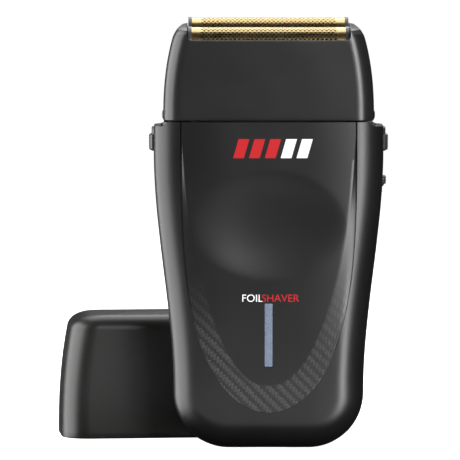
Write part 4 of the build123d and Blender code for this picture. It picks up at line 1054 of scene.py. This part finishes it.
# ---- Foil head shell ------------------------------------------------------------------------
# One ABS moulding that slides over the deck collar: a rounded sleeve with a cut-out over the foils.
# Each end stands up as an ear whose top leans back; two small ribs low on its sides hold the travel cap.
head_low, head_high = (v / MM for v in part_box("head_shell"))
HEAD_HALF = head_high.x
HEAD_DEPTH = head_high.y
HEAD_CORNER = 6.0
HEAD_LIP = 0.35
CHEEK_RISE = 26.5
CHEEK_TOP = head_low.z + CHEEK_RISE
CHEEK_LEAN = 2.9
CHEEK_CURVE = 2.47
BROW_START = (2.0, 7.5)
BROW_END = 8.0
CROWN_HALF = HEAD_HALF - 8.2
BAY_HALF = HEAD_HALF - 7.8
BAY_DEPTH = HEAD_DEPTH - 1.7
FRONT_RIM = head_low.z + 26.2
REAR_RIM = head_low.z + 29.0
EAR_SLOPE = 2.2


def head_half_width(z):
    """Half-width of the head at height z: nearly upright cheeks, then a rounded brow."""
    if z <= CHEEK_TOP:
        return HEAD_HALF - CHEEK_LEAN * ((z - head_low.z) / CHEEK_RISE) ** CHEEK_CURVE
    low, high = 0.0, 1.0
    for _ in range(40):
        t = (low + high) / 2
        at_start, at_lead, at_end, at_trail = cubic_weights(t)
        brow_z = at_start * CHEEK_TOP + at_lead * BROW_START[1] + at_end * head_high.z
        low, high = (t, high) if brow_z < z else (low, t)
    return (at_start * (HEAD_HALF - CHEEK_LEAN) - at_lead * BROW_START[0]
            + at_end * CROWN_HALF - at_trail * BROW_END)


def plan_ring(half_a, half_b, corner, z, steps=12, centre=(0, 0), turn=0.0):
    """A rounded rectangle at height z, optionally turned about its centre."""
    c, s = math.cos(turn), math.sin(turn)
    return [(centre[0] + a * c - b * s, centre[1] + a * s + b * c, z)
            for a, b in rounded_loop(half_a, half_b, corner, steps)]


head_levels = list(np.linspace(head_low.z + HEAD_LIP, CHEEK_TOP, 30))
head_levels += [CHEEK_TOP + (head_high.z - CHEEK_TOP) * math.sin(t)
                for t in np.linspace(0, math.pi / 2, 26)[1:]]
rings = [plan_ring(HEAD_HALF - HEAD_LIP, HEAD_DEPTH - HEAD_LIP, HEAD_CORNER - HEAD_LIP, head_low.z)]
rings += [plan_ring(head_half_width(z), HEAD_DEPTH, HEAD_CORNER, z) for z in head_levels]
head = loft("head", rings)


def slope_tool(name, loop_xz, rise):
    """A prism from front to back whose heights climb by a rise over the depth of the head."""
    count = len(loop_xz)
    reach = HEAD_DEPTH + 2
    climb = rise * reach / (2 * HEAD_DEPTH)
    front = [(x, -reach, z - climb) for x, z in loop_xz]
    back = [(x, reach, z + climb) for x, z in loop_xz]
    faces = [(i, (i + 1) % count, count + (i + 1) % count, count + i) for i in range(count)]
    faces += [tuple(range(count))[::-1], tuple(range(count, 2 * count))]
    return weld(new_piece(name, front + back, faces), 0.0001)


SIGHT_CORNER = 1.6
rim = (FRONT_RIM + REAR_RIM) / 2
sight_loop = [(-BAY_HALF, rim + 20), (-BAY_HALF, rim + SIGHT_CORNER)]
sight_loop += [(-BAY_HALF + SIGHT_CORNER - SIGHT_CORNER * math.cos(t),
                rim + SIGHT_CORNER - SIGHT_CORNER * math.sin(t)) for t in np.linspace(0.2, math.pi / 2, 7)]
sight_loop += [(-x, z) for x, z in reversed(sight_loop)]
ear_middle = head_high.z - EAR_SLOPE / 2
ear_loop = [(-HEAD_HALF - 2, ear_middle), (HEAD_HALF + 2, ear_middle),
            (HEAD_HALF + 2, ear_middle + 9), (-HEAD_HALF - 2, ear_middle + 9)]
cut(head, slope_tool("ear_cut", ear_loop, EAR_SLOPE))
cut(head, slope_tool("sight_cut", sight_loop, REAR_RIM - FRONT_RIM))
bay_rings = [plan_ring(BAY_HALF, BAY_DEPTH, 0.6, z, 3) for z in (head_low.z - 2, head_high.z + 2)]
cut(head, loft("bay_cut", bay_rings))
POCKET_TOP = head_low.z + 6.7
for side in (-1, 1):
    pocket = prism("pocket", "z", (side * (BAY_HALF + 1.5), 0), rounded_loop(1.9, BAY_DEPTH - 2.2, 0.4),
                   head_low.z - 1, POCKET_TOP)
    cut(head, pocket)
softener = head.modifiers.new("edges", "BEVEL")
softener.width = 0.32 * MM
softener.segments = 2
softener.limit_method = "ANGLE"
softener.angle_limit = math.radians(38)
settle(head)


def detent(side):
    """A small rounded rib low on one side of the head, for the cap to snap over."""
    rib_rings = []
    for t in np.linspace(0.1, math.pi - 0.1, 9):
        bulge = math.sin(t) ** 0.3
        rib_rings.append(plan_ring(0.25 + 0.65 * bulge, 2.4 + 0.6 * math.sin(t), 0.24 + 0.6 * bulge,
                                   head_low.z + 1.65 - 1.3 * math.cos(t), 6, (side * (HEAD_HALF - 0.4), 0)))
    return loft("detent", rib_rings)


head = join("head_sleeve", head, detent(-1), detent(1))
head_finish = moulded("satin_black_head", (0.0165, 0.0165, 0.0170), 0.31, 0.02)
_, _, ear_z, ear_place = head_finish.place()
EAR_BAND = 3.4
ear_zone = ear_z > (head_high.z - EAR_BAND)
spangle = head_finish.noise(ear_place, 2.6, 2.0, 0.7)
flecks = head_finish.blend(spangle, (0.02, 0.02, 0.02), (0.13, 0.13, 0.13))
head_finish.set("Base Color", head_finish.blend(ear_zone * 0.45, (0.0150, 0.0150, 0.0154), flecks))
head_finish.wear(shade(head, 30))
attach(head, "head", "head_plastic", "head_shell")

# ---- Foils ----------------------------------------------------------------------------------
# Electroformed gold-nitrided steel sheets, bent over into half tubes and pierced with a diamond lattice.
# Each is held by moulded grey end plates whose lugs float on springs; slotted steel cutters run beneath.
foil_low, foil_high = (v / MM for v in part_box("foil_sheet_front"))
FOIL_RADIUS = (foil_high.y - foil_low.y) / 2
FOIL_HALF = foil_high.x
FOIL_THICKNESS = 0.15
HOLE_PITCH = 1.42
ROW_PITCH = 0.84
PIERCED_HALF = 22.0
PIERCED_REACH = 7.2
HOLE_SHARE = (0.84, 0.88)

foil_finish = metal("gold_foil", (0.50, 0.37, 0.165), 0.27, marks=0.004)


def lattice_cell(name, pierced):
    """One flat cell of the lattice, with or without its diamond hole."""
    a, b = HOLE_PITCH / 2, ROW_PITCH / 2
    outer = [(a, 0), (a, b), (0, b), (-a, b), (-a, 0), (-a, -b), (0, -b), (a, -b)]
    if not pierced:
        return new_piece(name, [(x, y, 0) for x, y in outer], [tuple(range(8))])
    hole_a, hole_b = a * HOLE_SHARE[0], b * HOLE_SHARE[1]
    hole = [(hole_a, 0), (0, hole_b), (-hole_a, 0), (0, -hole_b)]
    verts = [(x, y, 0) for x, y in outer + hole]
    faces = []
    for quarter in range(4):
        side, corner, flat = 2 * quarter, 2 * quarter + 1, (2 * quarter + 2) % 8
        tip, turn = 8 + quarter, 8 + (quarter + 1) % 4
        faces += [(tip, side, corner), (tip, corner, turn), (turn, corner, flat)]
    return new_piece(name, verts, faces)


def foil_sheet(row, finish):
    """One foil: the lattice laid out flat in millimetres, then bent over its axis with straight skirts."""
    low, high = (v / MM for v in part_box(f"foil_sheet_{row}"))
    axis_y = (low.y + high.y) / 2
    axis_z = high.z - FOIL_RADIUS
    middle_radius = FOIL_RADIUS - FOIL_THICKNESS / 2
    quarter_arc = middle_radius * math.pi / 2
    pierced_cell = lattice_cell("pierced_cell", True)
    plain_cell = lattice_cell("plain_cell", False)
    pattern = Pattern(f"foil_lattice_{row}")
    columns = pattern.option("Columns", 2 * round(FOIL_HALF / HOLE_PITCH) + 2, "NodeSocketInt")
    row_count = 2 * round((quarter_arc + (axis_z - low.z)) / ROW_PITCH) + 1
    rows = pattern.option("Rows", row_count, "NodeSocketInt")
    pitch = pattern.option("Hole pitch", HOLE_PITCH)
    row_pitch = pattern.option("Row pitch", ROW_PITCH)
    half_length = pattern.option("Half length", FOIL_HALF)
    index = pattern.node("GeometryNodeInputIndex")
    column = index % columns
    row_number = pattern.maths("FLOOR", (index + 0.5) / columns)
    stagger = (row_number % 2) * 0.5
    x = (column - (columns - 1) / 2 + stagger - 0.25) * pitch
    v = (row_number - (rows - 1) / 2) * row_pitch
    spot = pattern.node("ShaderNodeCombineXYZ", i0=x, i1=v)
    points = pattern.node("GeometryNodePoints", Count=columns * rows, Position=spot)
    near = pattern.maths("ABSOLUTE", x) < PIERCED_HALF
    shallow = pattern.maths("ABSOLUTE", v) < PIERCED_REACH
    scaling = pattern.option("Unit", MM)
    in_millimetres = (1 / MM,) * 3
    solid = pattern.node("GeometryNodeInstanceOnPoints", Points=points, Selection=near * shallow < 0.5,
                         Instance=pattern.shape_of("Plain cell", plain_cell), Scale=in_millimetres)
    holed = pattern.node("GeometryNodeInstanceOnPoints", Points=points, Selection=near * shallow,
                         Instance=pattern.shape_of("Pierced cell", pierced_cell), Scale=in_millimetres)
    both = pattern.tree.nodes.new("GeometryNodeJoinGeometry")
    pattern.tree.links.new(solid.socket, both.inputs[0])
    pattern.tree.links.new(holed.socket, both.inputs[0])
    flat = pattern.node("GeometryNodeRealizeInstances", i0=Signal(pattern, both.outputs[0]))
    fx, fv, _ = pattern.split(pattern.node("GeometryNodeInputPosition"))
    held = pattern.maths("MINIMUM", pattern.maths("MAXIMUM", fx, 0 - half_length), half_length)
    reach = pattern.maths("ABSOLUTE", fv)
    bent = pattern.maths("MINIMUM", reach, quarter_arc) / middle_radius
    drop = pattern.maths("MINIMUM", pattern.maths("MAXIMUM", reach - quarter_arc, 0), axis_z - low.z)
    way = pattern.maths("SIGN", fv)
    place_y = pattern.maths("SINE", bent) * middle_radius * way + axis_y
    place_z = pattern.maths("COSINE", bent) * middle_radius - drop + axis_z
    wrapped = pattern.node("ShaderNodeCombineXYZ",
                           i0=held * scaling, i1=place_y * scaling, i2=place_z * scaling)
    shaped = pattern.node("GeometryNodeSetPosition", Geometry=flat, Position=wrapped)
    merged = pattern.node("GeometryNodeMergeByDistance", Geometry=shaped, Distance=0.02 * MM)
    sheet = pattern.make(f"foil_{row}", merged, finish)
    for cell in (pierced_cell, plain_cell):
        bpy.data.objects.remove(cell)
    work = bmesh.new()
    work.from_mesh(sheet.data)
    bmesh.ops.dissolve_degenerate(work, dist=0.002 * MM, edges=work.edges)
    bmesh.ops.recalc_face_normals(work, faces=work.faces)
    work.to_mesh(sheet.data)
    work.free()
    thick = sheet.modifiers.new("thickness", "SOLIDIFY")
    thick.thickness = FOIL_THICKNESS * MM
    thick.offset = 0
    settle(sheet)
    return shade(sheet, 28)


for row in ("front", "rear"):
    attach(foil_sheet(row, foil_finish), f"foil_{row}", "foil_gold", f"foil_sheet_{row}")

plate_finish = moulded("grey_end_plate", (0.040, 0.040, 0.042), 0.36, 0.01)
soften("foil_frame_front", "foil_front", "end_plate_grey", plate_finish, 0.22)
soften("foil_frame_rear", "foil_rear", "end_plate_grey", plate_finish, 0.22)
cutter_finish = metal("cutter_steel", (0.06, 0.055, 0.05), 0.55, (0.1, 1, 1))
dress(cutter_finish, "cutter_blades_front", "cutter_blades_rear")
carrier_finish = moulded("carrier_acetal", (0.012, 0.012, 0.012), 0.55)
dress(carrier_finish, "cutter_carrier_front", "cutter_carrier_rear")
CORE_RADIUS = 4.15
for row in ("front", "rear"):
    sheet_low, sheet_high = (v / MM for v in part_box(f"foil_sheet_{row}"))
    blade_low, blade_high = (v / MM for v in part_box(f"cutter_blades_{row}"))
    half_round = [(CORE_RADIUS * math.cos(t), CORE_RADIUS * math.sin(t))
                  for t in np.linspace(-0.2, math.pi + 0.2, 25)]
    core_axis = ((sheet_low.y + sheet_high.y) / 2, sheet_high.z - FOIL_RADIUS)
    core = prism(f"cutter_core_{row}", "x", core_axis, half_round, blade_low.x + 0.3, blade_high.x - 0.3)
    attach(carrier_finish.wear(shade(core, 30)), f"cutter_{row}", "carrier_plastic")

# ---- Travel cap -----------------------------------------------------------------------------
# A loose ABS cap that fits over the head, standing open end down behind the handle and turned a little.
# Its sides draw in towards a softly crowned top, and handling has left fine scuffs.
cap_low, cap_high = (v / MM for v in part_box("travel_cap"))
CAP_CENTRE = (-32.5, (cap_low.y + cap_high.y) / 2)
CAP_TURN = math.radians(6.0)
CAP_HALF = 37.5
CAP_DEPTH = 16.0
CAP_CORNER = 9.0
CAP_DRAW = 3.9
CAP_DRAW_CURVE = 2.4
CAP_LIP = 0.35
CAP_STEPS = 14
CAP_SIDE_ROUND = 7.0
CAP_TOP_ROUND = 5.0
CAP_WALL = 1.8
CAP_CROWN = 0.5
CAP_TOP = cap_high.z - CAP_CROWN


def cap_ring(z, inset=0.0):
    """Plan of the cap wall at height z below its top rounding, moved in by an inset."""
    draw = CAP_DRAW * (min(z, CAP_TOP) / CAP_TOP) ** CAP_DRAW_CURVE
    return CAP_HALF - draw - inset, CAP_DEPTH - 0.25 * draw - inset, max(CAP_CORNER - 0.6 * inset, 2.0)


def cap_plan(half_a, half_b, corner, z):
    """A rounded rectangle where the cap stands, turned with it."""
    return plan_ring(half_a, half_b, corner, z, CAP_STEPS, CAP_CENTRE, CAP_TURN)


def cap_skin(inset):
    """Rings from the rim to the middle of the top."""
    made = []
    ceiling = CAP_TOP - inset
    shoulder = ceiling - CAP_TOP_ROUND
    for z in np.linspace(CAP_LIP, shoulder, 20):
        made.append(cap_plan(*cap_ring(z, inset), z))
    a, b, corner = cap_ring(shoulder, inset)
    for t in np.linspace(0, math.pi / 2, 15)[1:]:
        pull = 1 - math.cos(t)
        draw = CAP_DRAW * 0.1 * math.sin(t)
        made.append(cap_plan(a - draw - CAP_SIDE_ROUND * pull, b - CAP_TOP_ROUND * pull,
                             max(corner - CAP_TOP_ROUND * pull, 1.5), shoulder + CAP_TOP_ROUND * math.sin(t)))
    end_a, end_b = a - CAP_DRAW * 0.1 - CAP_SIDE_ROUND, b - CAP_TOP_ROUND
    for t in np.linspace(0, 1, 9)[1:]:
        keep = 1 - t * 0.96
        made.append(cap_plan(end_a * keep, end_b * keep, max((corner - CAP_TOP_ROUND) * keep, 0.2),
                             ceiling + CAP_CROWN * (1 - keep**2)))
    return made


def cap_lip(inset, z):
    """A ring of the cap's open end, whose edge is rounded."""
    return cap_plan(*cap_ring(0.0, inset), z)


outer_skin = [cap_lip(CAP_LIP, 0.0), cap_lip(0.1, 0.1)] + cap_skin(0.0)
inner_skin = [cap_lip(CAP_WALL - CAP_LIP, 0.0), cap_lip(CAP_WALL - 0.1, 0.1)] + cap_skin(CAP_WALL)
count = len(outer_skin[0])
verts = [p for ring in outer_skin + inner_skin for p in ring]
faces = []
inner_start = len(outer_skin) * count
for r in range(len(outer_skin) - 1):
    for i in range(count):
        j = (i + 1) % count
        a, b = r * count, (r + 1) * count
        faces.append((a + i, a + j, b + j, b + i))
        faces.append((inner_start + a + i, inner_start + b + i, inner_start + b + j, inner_start + a + j))
for i in range(count):
    j = (i + 1) % count
    faces.append((i, inner_start + i, inner_start + j, j))
top = (len(outer_skin) - 1) * count
faces.append(tuple(range(top, top + count)))
faces.append(tuple(range(inner_start + top, inner_start + top + count))[::-1])
cap = weld(new_piece("cap", verts, faces), 0.001)
cap_finish = Finish("satin_black_cap", (0.024, 0.023, 0.022), 0.36, Specular_IOR_Level=0.5)
cap_place = cap_finish.place()[3]
cap_grit = cap_finish.noise(cap_place, 6.0, 3.0, 0.6)
swirl = cap_finish.noise(cap_finish.stretched(cap_place, 0.5, 0.5, 2.2), 0.9, 4.0, 0.7)
scuff = cap_finish.maths("SMOOTH_MAX", (swirl - 0.60) * 6, 0, 0.1)
cap_finish.set("Base Color", cap_finish.blend(
    scuff * 0.5 + cap_grit * 0.2, (0.0075, 0.0070, 0.0066), (0.036, 0.033, 0.031)))
cap_finish.set("Roughness", 0.33 + cap_grit * 0.10 + scuff * 0.2)
cap_finish.bump(cap_grit + scuff, 0.02, 0.6)
cap_finish.wear(shade(cap, 40))
attach(cap, "cap", "cap_plastic", "travel_cap")

# ---- Finishing ------------------------------------------------------------------------------
# The view layer is brought up to date.
bpy.context.view_layer.update()
